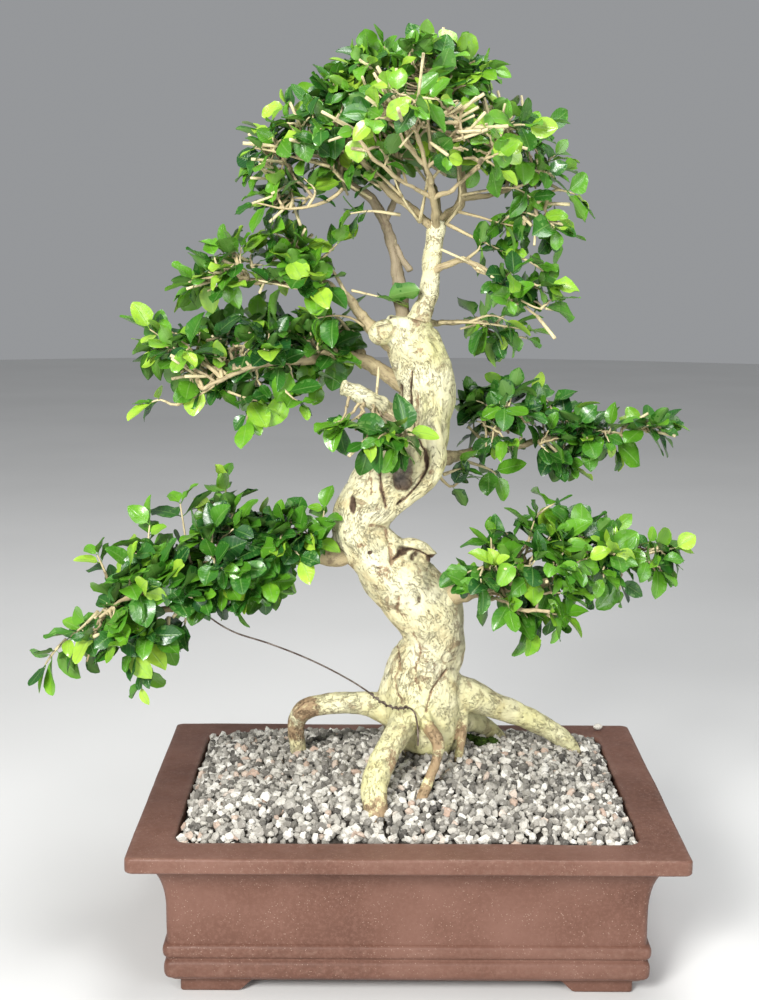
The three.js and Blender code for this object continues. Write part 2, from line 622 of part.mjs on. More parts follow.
// Each stem is cut back from the trunk and from the stems before it; leaves from all the wood.
const roundWood = [roundTrunk];
for (const [name, limbs] of Object.entries({ ...LEADERS, ...BRANCHES })) {
  const clear = largest(cut(stem(limbs), roundWood));
  add(name, clear, name.startsWith("leader") ? "bark" : "twig");
  roundWood.push(stem(limbs, CLEARANCE));
}
add("guy_wire", largest(cut(guyWire(), roundWood)), "wire");
const roundOthers = [...roundWood, guyWire(CLEARANCE)];
for (const [name, lumps] of Object.entries(LEAVES)) {
  add(name, largest(cut(leafMass(lumps), roundOthers)), "leaf");
  roundOthers.push(leafMass(lumps, CLEARANCE));
}
add("loose_pebble", pebble(), "gravel");

// Stand the whole on z = 0 with its box centred over the origin.
const box = new THREE.Box3().setFromObject(tree, true);
const middle = box.getCenter(new THREE.Vector3());
tree.position.set(-middle.x, -middle.y, -box.min.z);

export default tree;
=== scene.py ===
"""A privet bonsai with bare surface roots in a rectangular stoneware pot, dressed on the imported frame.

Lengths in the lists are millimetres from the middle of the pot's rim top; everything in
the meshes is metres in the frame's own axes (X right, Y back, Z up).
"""

from __future__ import annotations

import logging
import math
from dataclasses import dataclass, field
from enum import Enum

import bpy
import numpy as np
from mathutils import Matrix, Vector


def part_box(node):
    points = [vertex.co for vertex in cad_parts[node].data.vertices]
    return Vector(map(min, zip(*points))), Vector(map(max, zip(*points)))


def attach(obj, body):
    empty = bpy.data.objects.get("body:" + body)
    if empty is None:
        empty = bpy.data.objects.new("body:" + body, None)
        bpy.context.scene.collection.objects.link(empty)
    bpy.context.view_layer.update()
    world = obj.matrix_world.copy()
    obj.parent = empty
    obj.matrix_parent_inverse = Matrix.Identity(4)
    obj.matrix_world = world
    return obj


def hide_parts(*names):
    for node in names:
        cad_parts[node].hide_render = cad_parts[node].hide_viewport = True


Array = np.ndarray
Colour = tuple[float, float, float]
Material = bpy.types.Material
Rng = np.random.Generator
Socket = bpy.types.NodeSocket
MM = 0.001
LOG = logging.getLogger("bonsai")

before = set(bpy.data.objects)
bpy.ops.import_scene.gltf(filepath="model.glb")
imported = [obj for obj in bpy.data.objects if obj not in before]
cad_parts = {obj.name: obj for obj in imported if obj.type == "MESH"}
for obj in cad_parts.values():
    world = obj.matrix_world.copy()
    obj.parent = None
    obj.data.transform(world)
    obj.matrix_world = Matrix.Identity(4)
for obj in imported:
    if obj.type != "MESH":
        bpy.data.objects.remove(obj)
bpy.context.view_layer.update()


# ---- Places ----


def rim_origin() -> Array:
    """The middle of the pot at the height of its rim's top, in metres."""
    low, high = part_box("pot_walls")
    return np.array([(low[0] + high[0]) / 2, (low[1] + high[1]) / 2, high[2]])


RIM = rim_origin()
POT_FEET = tuple(f"pot_foot_{end}_{side}" for end in ("front", "back") for side in ("left", "right"))
POT_NODES = ("pot_walls", "pot_floor", *POT_FEET)


def placed(points: Array | list) -> Array:
    """Millimetres from the middle of the rim's top, turned into metres in the frame."""
    return np.asarray(points, dtype=float)[..., :3] * MM + RIM


# ---- Numpy surfaces ----


def unit(vectors: Array) -> Array:
    """Each vector divided by its own length."""
    return vectors / np.maximum(np.linalg.norm(vectors, axis=-1, keepdims=True), 1e-12)


def lattice_noise(points: Array, cell: float, seed: int) -> Array:
    """Smooth noise from -1 to 1: random values on a cubic lattice, blended by f^3(6f^2 - 15f + 10).

    Args:
        points: Places to sample, (n, 3).
        cell: Spacing of the lattice, in the unit of the points.
        seed: Picks the set of random values.

    Returns:
        One value for each point.
    """
    scaled = points / cell
    whole = np.floor(scaled).astype(np.int64)
    part = scaled - whole
    blend = part**3 * (part * (part * 6 - 15) + 10)
    total = np.zeros(len(points))
    for corner in np.ndindex(2, 2, 2):
        at = whole + np.array(corner)
        mixed = (at[:, 0] * 73856093) ^ (at[:, 1] * 19349663) ^ (at[:, 2] * 83492791) ^ (seed * 2654435)
        mixed = (mixed ^ (mixed >> 13)) * 1274126177 & 0x7FFFFFFF
        mixed = (mixed ^ (mixed >> 11)) * 1103515245 & 0x7FFFFFFF
        value = ((mixed ^ (mixed >> 16)) & 0xFFFF) / 32767.5 - 1
        weight = np.prod(np.where(np.array(corner) == 1, blend, 1 - blend), axis=1)
        total += value * weight
    return total


def layered_noise(points: Array, cell: float, seed: int, layers: int = 3) -> Array:
    """Noise summed over layers, each with half the cell and half the weight of the last."""
    return sum(lattice_noise(points, cell / 2**k, seed + 17 * k) / 2**k for k in range(layers))


def flowing(points: Array | list, count: int) -> Array:
    """A Catmull-Rom curve through given points.

    Each span is the cubic 0.5(2b + (c - a)t + (2a - 5b + 4c - d)t^2 + (3b - a - 3c + d)t^3) of its
    four nearest points a, b, c and d; any further columns, such as a radius, are carried along.

    Args:
        points: Points to pass through, (n, k).
        count: Number of samples along the whole curve.

    Returns:
        The samples, (count, k).
    """
    knots = np.asarray(points, dtype=float)
    ends = np.vstack([2 * knots[0] - knots[1], knots, 2 * knots[-1] - knots[-2]])
    spread = np.linspace(0, len(knots) - 1, count)
    span = np.minimum(spread.astype(int), len(knots) - 2)
    t = (spread - span)[:, None]
    a, b, c, d = (ends[span + k] for k in range(4))
    return 0.5 * (2 * b + (c - a) * t + (2 * a - 5 * b + 4 * c - d) * t**2 + (3 * b - a - 3 * c + d) * t**3)


@dataclass
class Skin:
    """Points, faces and attributes gathered for one piece."""

    points: list[Array] = field(default_factory=list)
    quads: list[Array] = field(default_factory=list)
    tris: list[Array] = field(default_factory=list)
    marks: dict[str, list[Array]] = field(default_factory=dict)
    count: int = 0

    def add(self, points: Array, quads: Array, tris: Array | None = None, **marks: Array) -> None:
        """Adds a surface.

        Args:
            points: Its vertices, (n, 3).
            quads: Corners of its four-sided faces, (m, 4).
            tris: Corners of its three-sided faces, (k, 3).
            marks: Named values for each vertex, (n,) or (n, 3).
        """
        self.points.append(points)
        self.quads.append(quads.reshape(-1, 4) + self.count)
        if tris is not None:
            self.tris.append(tris.reshape(-1, 3) + self.count)
        for name, values in marks.items():
            self.marks.setdefault(name, []).append(values)
        self.count += len(points)

    def mesh(self, name: str, smooth: bool = True) -> bpy.types.Mesh:
        """The gathered surfaces as a Blender mesh.

        Args:
            name: The mesh's name.
            smooth: Whether its faces are shaded smooth.

        Returns:
            The new mesh.
        """
        points = np.concatenate(self.points)
        quads = np.concatenate(self.quads) if self.quads else np.zeros((0, 4), int)
        tris = np.concatenate(self.tris) if self.tris else np.zeros((0, 3), int)
        mesh = bpy.data.meshes.new(name)
        mesh.vertices.add(len(points))
        write_points(mesh, points)
        corners = np.concatenate([quads.ravel(), tris.ravel()]).astype(np.int32)
        mesh.loops.add(len(corners))
        mesh.loops.foreach_set("vertex_index", corners)
        starts = np.concatenate([np.arange(len(quads)) * 4, len(quads) * 4 + np.arange(len(tris)) * 3])
        mesh.polygons.add(len(starts))
        mesh.polygons.foreach_set("loop_start", starts.astype(np.int32))
        mesh.update(calc_edges=True)
        mesh.validate()
        mesh.polygons.foreach_set("use_smooth", np.full(len(mesh.polygons), smooth))
        for mark, values in self.marks.items():
            put_mark(mesh, mark, np.concatenate(values))
        return mesh


def read_points(mesh: bpy.types.Mesh, what: str = "co") -> Array:
    """Every vertex's place, or its normal, (n, 3)."""
    values = np.empty(len(mesh.vertices) * 3, np.float32)
    mesh.vertices.foreach_get(what, values)
    return values.reshape(-1, 3).astype(float)


def write_points(mesh: bpy.types.Mesh, points: Array) -> None:
    """Moves every vertex to its place."""
    mesh.vertices.foreach_set("co", points.astype(np.float32).ravel())


def put_mark(mesh: bpy.types.Mesh, name: str, values: Array) -> None:
    """Stores a value or a vector for each vertex as a named attribute of the mesh."""
    vector = values.ndim == 2
    mark = mesh.attributes.new(name, "FLOAT_VECTOR" if vector else "FLOAT", "POINT")
    mark.data.foreach_set("vector" if vector else "value", values.astype(np.float32).ravel())


def circle(sides: int) -> tuple[Array, Array]:
    """cos a and sin a at even steps round a circle, each (sides,)."""
    angle = np.linspace(0, 2 * np.pi, sides, endpoint=False)
    return np.cos(angle), np.sin(angle)


def run_along(paths: Array) -> Array:
    """Length run from each path's start to each of its points, (m, n)."""
    steps = np.linalg.norm(np.diff(paths, axis=1), axis=2)
    return np.concatenate([np.zeros((len(paths), 1)), np.cumsum(steps, axis=1)], axis=1)


def grid_quads(rows: int, columns: int, closed: bool = True) -> Array:
    """Faces of a grid of rows and columns, each row closed on itself or open."""
    row = np.arange(rows - 1)[:, None]
    column = np.arange(columns if closed else columns - 1)[None, :]
    after = (column + 1) % columns
    near, far = row * columns, (row + 1) * columns
    corners = (near + column, near + after, far + after, far + column)
    return np.stack(np.broadcast_arrays(*corners), axis=-1).reshape(-1, 4)


def capped_tube_faces(rows: int, sides: int) -> tuple[Array, Array]:
    """Faces of a tube whose first and last points, after its rings, are its poles.

    Args:
        rows: Number of rings.
        sides: Points round each ring.

    Returns:
        The four-sided faces of the wall and the three-sided faces at the poles.
    """
    ring = np.arange(sides)
    after = (ring + 1) % sides
    first, last = rows * sides, rows * sides + 1
    start = np.stack([np.full(sides, first), after, ring], axis=1)
    base = (rows - 1) * sides
    end = np.stack([np.full(sides, last), base + ring, base + after], axis=1)
    return grid_quads(rows, sides), np.concatenate([start, end])


def repeated(faces: Array, copies: int, stride: int) -> Array:
    """The same faces for many copies of a shape whose points follow one another."""
    shifts = np.arange(copies)[:, None, None] * stride
    return (faces[None] + shifts).reshape(-1, faces.shape[1])


def path_frames(paths: Array) -> tuple[Array, Array, Array]:
    """Tangent T, and N = unit(ref - (ref.T)T) and B = T x N, along many paths at once.

    ref is the axis that lies furthest from each path's own mean direction.

    Args:
        paths: Points along the paths, (m, n, 3).

    Returns:
        T, N and B, each (m, n, 3).
    """
    tangent = unit(np.gradient(paths, axis=1))
    mean = np.abs(unit(paths[:, -1] - paths[:, 0]))
    mean[:, 1] *= 0.6
    ref = np.eye(3)[np.argmin(mean, axis=1)][:, None, :]
    normal = unit(ref - (ref * tangent).sum(-1, keepdims=True) * tangent)
    return tangent, normal, np.cross(tangent, normal)


PATTERN_SHIFT = 0.037  # metres by which each tube's grain is shifted from the last's


def tubes(skin: Skin, paths: Array, radii: Array, sides: int, blunt: float = 0.3, **marks: Array) -> None:
    """Adds round tubes: P(s, a) = C(s) + r(s)(cos a N(s) + sin a B(s)), closed by a pole at each end.

    Args:
        skin: Gathers the surfaces.
        paths: Centre lines in metres, (m, n, 3).
        radii: Radii in metres, (m, n).
        sides: Points round each ring.
        blunt: How far each pole stands past its last ring, as a share of the radius there.
        marks: Named values for each tube, (m,).
    """
    many, rows = radii.shape
    tangent, normal, side = path_frames(paths)
    cosine, sine = circle(sides)
    around = cosine[:, None] * normal[:, :, None] + sine[:, None] * side[:, :, None]
    rings = (paths[:, :, None] + radii[:, :, None, None] * around).reshape(many, -1, 3)
    start = paths[:, 0] - tangent[:, 0] * radii[:, :1] * blunt
    end = paths[:, -1] + tangent[:, -1] * radii[:, -1:] * blunt
    points = np.concatenate([rings, start[:, None], end[:, None]], axis=1)
    quads, tris = capped_tube_faces(rows, sides)
    stride = rows * sides + 2
    radius = radii[:, :, None]
    flow = np.broadcast_arrays(radius * cosine, radius * sine, run_along(paths)[:, :, None])
    flow = np.stack(flow, axis=-1).reshape(many, -1, 3)
    flow = np.concatenate([flow, flow[:, :1], flow[:, -1:]], axis=1)
    flow[:, :, 2] += np.arange(many)[:, None] * PATTERN_SHIFT
    spread = {name: np.repeat(values, stride, axis=0) for name, values in marks.items()}
    skin.add(
        points.reshape(-1, 3),
        repeated(quads, many, stride),
        repeated(tris, many, stride),
        flow=flow.reshape(-1, 3),
        **spread,
    )


# ---- Finishes ----


class Shade:
    """Builds the nodes of one material."""

    def __init__(self, name: str) -> None:
        """Starts a material with its main shader."""
        self.material = bpy.data.materials.new(name)
        self.material.use_nodes = True
        self.tree = self.material.node_tree
        self.main = self.tree.nodes["Principled BSDF"]
        self.place = self.add("ShaderNodeTexCoord").outputs["Object"]

    def add(self, kind: str, sockets: dict | None = None, **settings: object) -> bpy.types.Node:
        """Adds a node, sets its options, and fills its input sockets by name or number."""
        node = self.tree.nodes.new(kind)
        for name, value in settings.items():
            setattr(node, name, value)
        for key, value in (sockets or {}).items():
            self.put(node.inputs[key], value)
        return node

    def put(self, socket: Socket, value: object) -> None:
        """Links a socket to an output, or sets its constant; a colour of three numbers is opaque."""
        if isinstance(value, Socket):
            self.tree.links.new(value, socket)
        else:
            socket.default_value = (*value, 1) if socket.type == "RGBA" else value

    def mark(self, name: str, output: str = "Fac") -> Socket:
        """Reads a named attribute of the mesh."""
        return self.add("ShaderNodeAttribute", attribute_name=name).outputs[output]

    def stretch(self, vector: Socket, scale: tuple[float, float, float]) -> Socket:
        """Scales coordinates along each axis."""
        return self.add("ShaderNodeMapping", {"Vector": vector, "Scale": scale}).outputs["Vector"]

    def noise(
        self, vector: Socket, scale: float, detail: float = 4, rough: float = 0.55, warp: float = 0
    ) -> Socket:
        """Fractal noise from 0 to 1."""
        sockets = {"Vector": vector, "Scale": scale, "Detail": detail, "Roughness": rough, "Distortion": warp}
        return self.add("ShaderNodeTexNoise", sockets).outputs["Fac"]

    def cells(self, vector: Socket, scale: float) -> Socket:
        """Distance within scattered cells."""
        return self.add("ShaderNodeTexVoronoi", {"Vector": vector, "Scale": scale}).outputs["Distance"]

    def sum(self, a: object, b: object, how: str = "ADD") -> Socket:
        """Works out one number from two."""
        return self.add("ShaderNodeMath", {0: a, 1: b}, operation=how).outputs[0]

    def times(self, a: object, b: object) -> Socket:
        """Multiplies two numbers."""
        return self.sum(a, b, "MULTIPLY")

    def less(self, a: object, b: object) -> Socket:
        """Takes the second number from the first."""
        return self.sum(a, b, "SUBTRACT")

    def window(self, value: object, low: float, high: float, top: float = 1.0) -> Socket:
        """A smooth step from 0 at low to top at high."""
        sockets = {"Value": value, "From Min": low, "From Max": high, "To Max": top}
        return self.add("ShaderNodeMapRange", sockets, interpolation_type="SMOOTHSTEP").outputs["Result"]

    def ramp(self, value: object, stops: list[tuple[float, Colour]]) -> Socket:
        """A colour for each value, by stops."""
        node = self.add("ShaderNodeValToRGB", {"Fac": value})
        bar = node.color_ramp.elements
        while len(bar) < len(stops):
            bar.new(0.5)
        for element, (at, colour) in zip(bar, stops):
            element.position = at
            element.color = (*colour, 1)
        return node.outputs["Color"]

    def mix(self, share: object, below: object, above: object) -> Socket:
        """Lays one colour over another."""
        return self.add("ShaderNodeMix", {0: share, 6: below, 7: above}, data_type="RGBA").outputs[2]

    def veil(self, below: object, above: object, pattern: object, *window: float) -> Socket:
        """Lays one colour over another where a pattern passes a window (low, high and top)."""
        return self.mix(self.window(pattern, *window), below, above)

    def relief(self, height: object, depth: float, strength: float = 1.0) -> None:
        """Gives the surface bumps of a depth in metres, on top of those it has."""
        node = self.add("ShaderNodeBump", {"Strength": strength, "Distance": depth, "Height": height})
        bumps = self.main.inputs["Normal"]
        if bumps.is_linked:
            self.put(node.inputs["Normal"], bumps.links[0].from_socket)
        self.put(bumps, node.outputs["Normal"])

    def finish(self, colour: object, rough: object, **constants: object) -> Material:
        """Sets the main shader and hands over the material.

        Args:
            colour: Colour socket, or three numbers.
            rough: Roughness socket or number.
            constants: Other sockets of the main shader by name, with _ for a space.

        Returns:
            The material.
        """
        self.put(self.main.inputs["Base Color"], colour)
        self.put(self.main.inputs["Roughness"], rough)
        for name, value in constants.items():
            self.main.inputs[name.replace("_", " ")].default_value = value
        return self.material


@dataclass(frozen=True)
class Stoneware:
    """Unglazed red-brown clay, finely speckled, a little polished on its raised edges."""

    clay: Colour = (0.130, 0.060, 0.041)
    pale_clay: Colour = (0.178, 0.090, 0.066)
    deep_clay: Colour = (0.088, 0.038, 0.025)
    speck: Colour = (0.40, 0.28, 0.22)
    scuff: Colour = (0.30, 0.20, 0.155)

    def make(self) -> Material:
        """Broad clouds of tone, pale and dark specks, scuffs on the edges, and a fine grain."""
        shade = Shade("unglazed stoneware")
        clouds = shade.noise(shade.place, 14, 5, 0.6)
        body = shade.ramp(clouds, [(0.3, self.deep_clay), (0.5, self.clay), (0.72, self.pale_clay)])
        mottle = shade.noise(shade.place, 420, 3, 0.65)
        body = shade.veil(body, self.pale_clay, mottle, 0.42, 0.70, 0.60)
        flecks = shade.window(shade.cells(shade.place, 620), 0.20, 0.08, 0.80)
        patches = shade.window(shade.noise(shade.place, 60, 2), 0.36, 0.60)
        body = shade.mix(shade.times(flecks, patches), body, self.speck)
        pits = shade.window(shade.cells(shade.place, 380), 0.12, 0.04, 0.6)
        body = shade.mix(pits, body, self.deep_clay)
        edge = shade.mark("edge")
        worn = shade.times(edge, shade.window(shade.noise(shade.place, 230, 5, 0.75), 0.42, 0.72))
        body = shade.mix(shade.times(worn, 0.22), body, self.scuff)
        rough = shade.window(shade.noise(shade.place, 90, 4), 0.2, 0.9, 0.22)
        rough = shade.sum(rough, 0.42)
        rough = shade.less(rough, shade.times(edge, 0.10))
        shade.relief(shade.noise(shade.place, 900, 3, 0.6), 0.00022, 0.55)
        shade.relief(shade.noise(shade.place, 110, 3, 0.5), 0.0006, 0.35)
        return shade.finish(body, rough, Specular_IOR_Level=0.26, Coat_Weight=0.05, Coat_Roughness=0.4)


@dataclass(frozen=True)
class TrunkBark:
    """Pale cream bark with fine wandering cracks, tan stains, grey hollows, painted shade in hollows and
    furrows, and a green-yellow bloom that also paints light on the right side.
    """

    cream: Colour = (0.70, 0.655, 0.405)
    pale: Colour = (0.80, 0.765, 0.535)
    straw: Colour = (0.56, 0.475, 0.26)
    # Yellow-green bloom colour, also used as painted light on the trunk's right side.
    bloom_and_lit_side: Colour = (0.66, 0.645, 0.235)
    stain: Colour = (0.30, 0.195, 0.110)
    # Near-black colour of the painted shade in hollows and furrows.
    hollow_shade: Colour = (0.085, 0.052, 0.032)
    crack_line: Colour = (0.18, 0.12, 0.075)
    grey: Colour = (0.15, 0.135, 0.115)

    def make(self) -> Material:
        """Clouds of cream and straw, thin wandering cracks, flaking brown skin, stains and knots, with painted
        shade in the hollows and furrows.
        """
        shade = Shade("pale privet bark")
        flow = shade.mark("flow", "Vector")
        clouds = shade.noise(shade.place, 55, 5, 0.65)
        body = shade.ramp(clouds, [(0.34, self.straw), (0.47, self.cream), (0.66, self.pale)])
        # This mark is partly a real yellow-green bloom and partly painted light on the trunk's right side.
        bloom_and_lit_side = shade.mark("bloom_and_lit_side")
        calm = shade.less(1.0, shade.times(bloom_and_lit_side, 0.75))
        body = shade.mix(shade.times(bloom_and_lit_side, 0.85), body, self.bloom_and_lit_side)
        grain = shade.noise(shade.stretch(flow, (1, 1, 0.35)), 480, 4, 0.65, 0.8)
        body = shade.veil(body, self.stain, grain, 0.55, 0.72, 0.36)
        lines = 0.0
        for scale, width, low, high in ((95, 0.015, 0.47, 0.60), (230, 0.024, 0.48, 0.62)):
            ridge = shade.noise(shade.stretch(flow, (1, 1, 0.45)), scale, 5, 0.62, 2.2)
            thin = shade.window(shade.sum(shade.less(ridge, 0.5), 0.0, "ABSOLUTE"), width, 0.003)
            gate = shade.window(shade.noise(shade.stretch(shade.place, (1, 1, 1.3)), scale * 0.6, 3), low, high)
            lines = shade.sum(lines, shade.times(thin, gate), "MAXIMUM")
        lines = shade.times(lines, calm)
        body = shade.mix(shade.times(lines, 0.46), body, self.crack_line)
        flake = shade.noise(shade.place, 130, 6, 0.78, 0.8)
        share = shade.times(shade.noise(shade.place, 34, 3), 0.30)
        skin = shade.times(shade.window(shade.sum(flake, share), 0.705, 0.765, 0.66), calm)
        body = shade.mix(skin, body, self.stain)
        specks = shade.window(shade.cells(shade.place, 330), 0.20, 0.08)
        specks = shade.times(specks, shade.window(shade.noise(shade.place, 55, 3), 0.44, 0.58))
        body = shade.mix(shade.times(specks, 0.45), body, self.stain)
        # The stain mark carries real stains and also painted shade in the wood's hollows.
        ragged = shade.times(shade.mark("stain"), shade.noise(shade.place, 260, 5, 0.75))
        body = shade.veil(body, self.stain, ragged, 0.30, 0.44, 0.92)
        # Painted shade: the dark mark darkens hollows, knots and furrows towards near-black.
        dark = shade.mark("dark")
        shaded_hollows = shade.times(dark, shade.sum(shade.noise(shade.place, 320, 4, 0.7), 0.5))
        body = shade.veil(body, self.hollow_shade, shaded_hollows, 0.36, 0.70)
        body = shade.mix(shade.window(shade.mark("grey"), 0.1, 0.9, 0.85), body, self.grey)
        height = shade.less(shade.times(grain, 0.3), shade.times(lines, 0.8))
        height = shade.less(height, shade.times(skin, 0.4))
        shade.relief(height, 0.0018, 0.9)
        shade.relief(shade.noise(shade.place, 280, 5, 0.68), 0.0012, 0.55)
        return shade.finish(body, 0.66, Specular_IOR_Level=0.3)


@dataclass(frozen=True)
class TwigBark:
    """Straw-coloured young wood with darker nodes and paler cut ends."""

    straw: Colour = (0.50, 0.41, 0.225)
    pale: Colour = (0.64, 0.56, 0.33)
    brown: Colour = (0.15, 0.105, 0.066)
    old: Colour = (0.30, 0.245, 0.16)

    def make(self) -> Material:
        """Colour by the age mark of each limb, with streaks along it and brown nodes."""
        shade = Shade("twig bark")
        flow = shade.mark("flow", "Vector")
        age = shade.mark("age")
        body = shade.ramp(age, [(0.0, self.pale), (0.45, self.straw), (0.9, self.old)])
        streak = shade.noise(shade.stretch(flow, (1, 1, 0.15)), 900, 4, 0.6, 0.5)
        body = shade.veil(body, self.brown, streak, 0.50, 0.70, 0.65)
        patch = shade.noise(shade.place, 190, 4, 0.65)
        body = shade.veil(body, self.brown, patch, 0.56, 0.70, 0.65)
        light = shade.noise(shade.place, 260, 3, 0.6)
        body = shade.veil(body, self.pale, light, 0.60, 0.74, 0.55)
        shade.relief(shade.sum(streak, patch), 0.0005, 0.7)
        return shade.finish(body, 0.68, Specular_IOR_Level=0.3)


@dataclass(frozen=True)
class Leaf:
    """Glossy privet leaf: dark when old, bright yellow-green when young, paler beneath."""

    old: Colour = (0.009, 0.060, 0.012)
    mid: Colour = (0.028, 0.135, 0.010)
    young: Colour = (0.115, 0.320, 0.016)
    fresh: Colour = (0.360, 0.560, 0.050)
    under: Colour = (0.150, 0.300, 0.060)
    vein: Colour = (0.20, 0.36, 0.09)

    def make(self) -> Material:
        """Colour by each leaf's own tone, a paler midrib and side veins, and a waxy top."""
        shade = Shade("privet leaf")
        split = shade.add("ShaderNodeSeparateXYZ")
        shade.put(split.inputs[0], shade.mark("blade", "Vector"))
        along, across, tone = split.outputs
        mottle = shade.noise(shade.place, 130, 3, 0.55)
        value = shade.sum(tone, shade.times(shade.less(mottle, 0.5), 0.30))
        body = shade.ramp(value, [(0.05, self.old), (0.42, self.mid), (0.74, self.young), (1.0, self.fresh)])
        half = shade.sum(across, 0.0, "ABSOLUTE")
        rib = shade.window(half, 0.10, 0.02, 0.42)
        body = shade.mix(rib, body, self.vein)
        slant = shade.less(shade.times(along, 9.0), shade.times(half, 1.6))
        wave = shade.times(slant, math.tau)
        wave = shade.sum(wave, 0.0, "SINE")
        side_veins = shade.window(wave, 0.84, 1.0, 0.14)
        body = shade.mix(side_veins, body, self.vein)
        beneath = shade.mark("beneath")
        body = shade.mix(shade.times(beneath, 0.62), body, self.under)
        height = shade.sum(shade.times(rib, 1.2), side_veins)
        shade.relief(height, 0.00035, 0.6)
        shade.relief(shade.noise(shade.place, 500, 2), 0.0003, 0.35)
        rough = shade.sum(shade.times(beneath, 0.22), 0.27)
        return shade.finish(body, rough, Specular_IOR_Level=0.55, Coat_Weight=0.12, Coat_Roughness=0.22)


@dataclass(frozen=True)
class Gravel:
    """Crushed stone in greys and beiges with a few pink and rusty grains."""

    def make(self) -> Material:
        """A tone for each grain, with mineral mottling and a rough broken face."""
        shade = Shade("crushed gravel")
        tone = shade.mark("tone")
        body = shade.ramp(
            tone,
            [
                (0.0, (0.06, 0.056, 0.050)),
                (0.16, (0.165, 0.155, 0.135)),
                (0.42, (0.33, 0.312, 0.275)),
                (0.70, (0.52, 0.497, 0.44)),
                (0.93, (0.76, 0.74, 0.68)),
                (0.965, (0.52, 0.42, 0.34)),
                (1.0, (0.42, 0.30, 0.23)),
            ],
        )
        mineral = shade.noise(shade.place, 900, 4, 0.7)
        body = shade.veil(body, (0.20, 0.18, 0.155), mineral, 0.50, 0.66, 0.50)
        light = shade.noise(shade.place, 620, 3, 0.6)
        body = shade.veil(body, (0.72, 0.70, 0.65), light, 0.56, 0.72, 0.45)
        shade.relief(shade.noise(shade.place, 1100, 4, 0.7), 0.0005, 0.7)
        return shade.finish(body, 0.82, Specular_IOR_Level=0.28)


@dataclass(frozen=True)
class PlainGround:
    """Earthy matter with no sheen: soil, or the near-black sheet of painted shade between grains."""

    name: str
    dark: Colour
    light: Colour

    def make(self) -> Material:
        """Crumbs of two tones with a rough surface."""
        shade = Shade(self.name)
        crumbs = shade.noise(shade.place, 480, 5, 0.7)
        body = shade.ramp(crumbs, [(0.35, self.dark), (0.68, self.light)])
        shade.relief(shade.noise(shade.place, 360, 5, 0.7), 0.0015, 0.9)
        return shade.finish(body, 0.95, Specular_IOR_Level=0.15)


@dataclass(frozen=True)
class IronWire:
    """Annealed iron wire, dark brown with dull bright patches."""

    dark: Colour = (0.075, 0.050, 0.038)
    bare: Colour = (0.24, 0.20, 0.17)

    def make(self) -> Material:
        """Two tones of tarnish."""
        shade = Shade("tarnished wire")
        patch = shade.noise(shade.place, 260, 4, 0.6)
        body = shade.ramp(patch, [(0.42, self.dark), (0.66, self.bare)])
        shade.relief(patch, 0.0003, 0.5)
        return shade.finish(body, 0.42, Metallic=0.7)


@dataclass(frozen=True)
class MeshPlastic:
    """Black moulded plastic netting with a faint haze of dust."""

    black: Colour = (0.018, 0.020, 0.022)
    dust: Colour = (0.07, 0.065, 0.058)

    def make(self) -> Material:
        """Near-black with a dusty mottle and a fine moulded texture."""
        shade = Shade("plastic netting")
        dust = shade.noise(shade.place, 300, 4, 0.6)
        body = shade.ramp(dust, [(0.45, self.black), (0.75, self.dust)])
        shade.relief(shade.noise(shade.place, 1500, 2), 0.0001, 0.5)
        return shade.finish(body, shade.window(dust, 0.3, 0.8, 0.75), Specular_IOR_Level=0.4)


@dataclass(frozen=True)
class Moss:
    """Cushion moss, deep green with brown beneath."""

    brown: Colour = (0.035, 0.028, 0.012)
    green: Colour = (0.035, 0.075, 0.012)
    tips: Colour = (0.14, 0.21, 0.03)

    def make(self) -> Material:
        """Greens and browns in small cells."""
        shade = Shade("cushion moss")
        patch = shade.noise(shade.place, 700, 4, 0.7)
        body = shade.ramp(patch, [(0.3, self.brown), (0.5, self.green), (0.8, self.tips)])
        shade.relief(shade.noise(shade.place, 1600, 3, 0.7), 0.0012, 1.0)
        return shade.finish(body, 0.95, Specular_IOR_Level=0.1)


def dressed(
    mesh: bpy.types.Mesh,
    material: Material,
    replaces: tuple[str, ...] = (),
) -> bpy.types.Object:
    """Makes a piece of a mesh: puts it in the scene, on the root body, in its finish.

    Args:
        mesh: The piece's mesh, already in its place.
        material: Its finish.
        replaces: CAD nodes that it stands for.

    Returns:
        The new object.
    """
    piece = bpy.data.objects.new(mesh.name, mesh)
    bpy.context.scene.collection.objects.link(piece)
    mesh.materials.append(material)
    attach(piece, "root")
    if replaces:
        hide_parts(*replaces)
    LOG.info("%s: %d triangles", piece.name, len(mesh.loops) - 2 * len(mesh.polygons))
    return piece


# ---- Pot ----


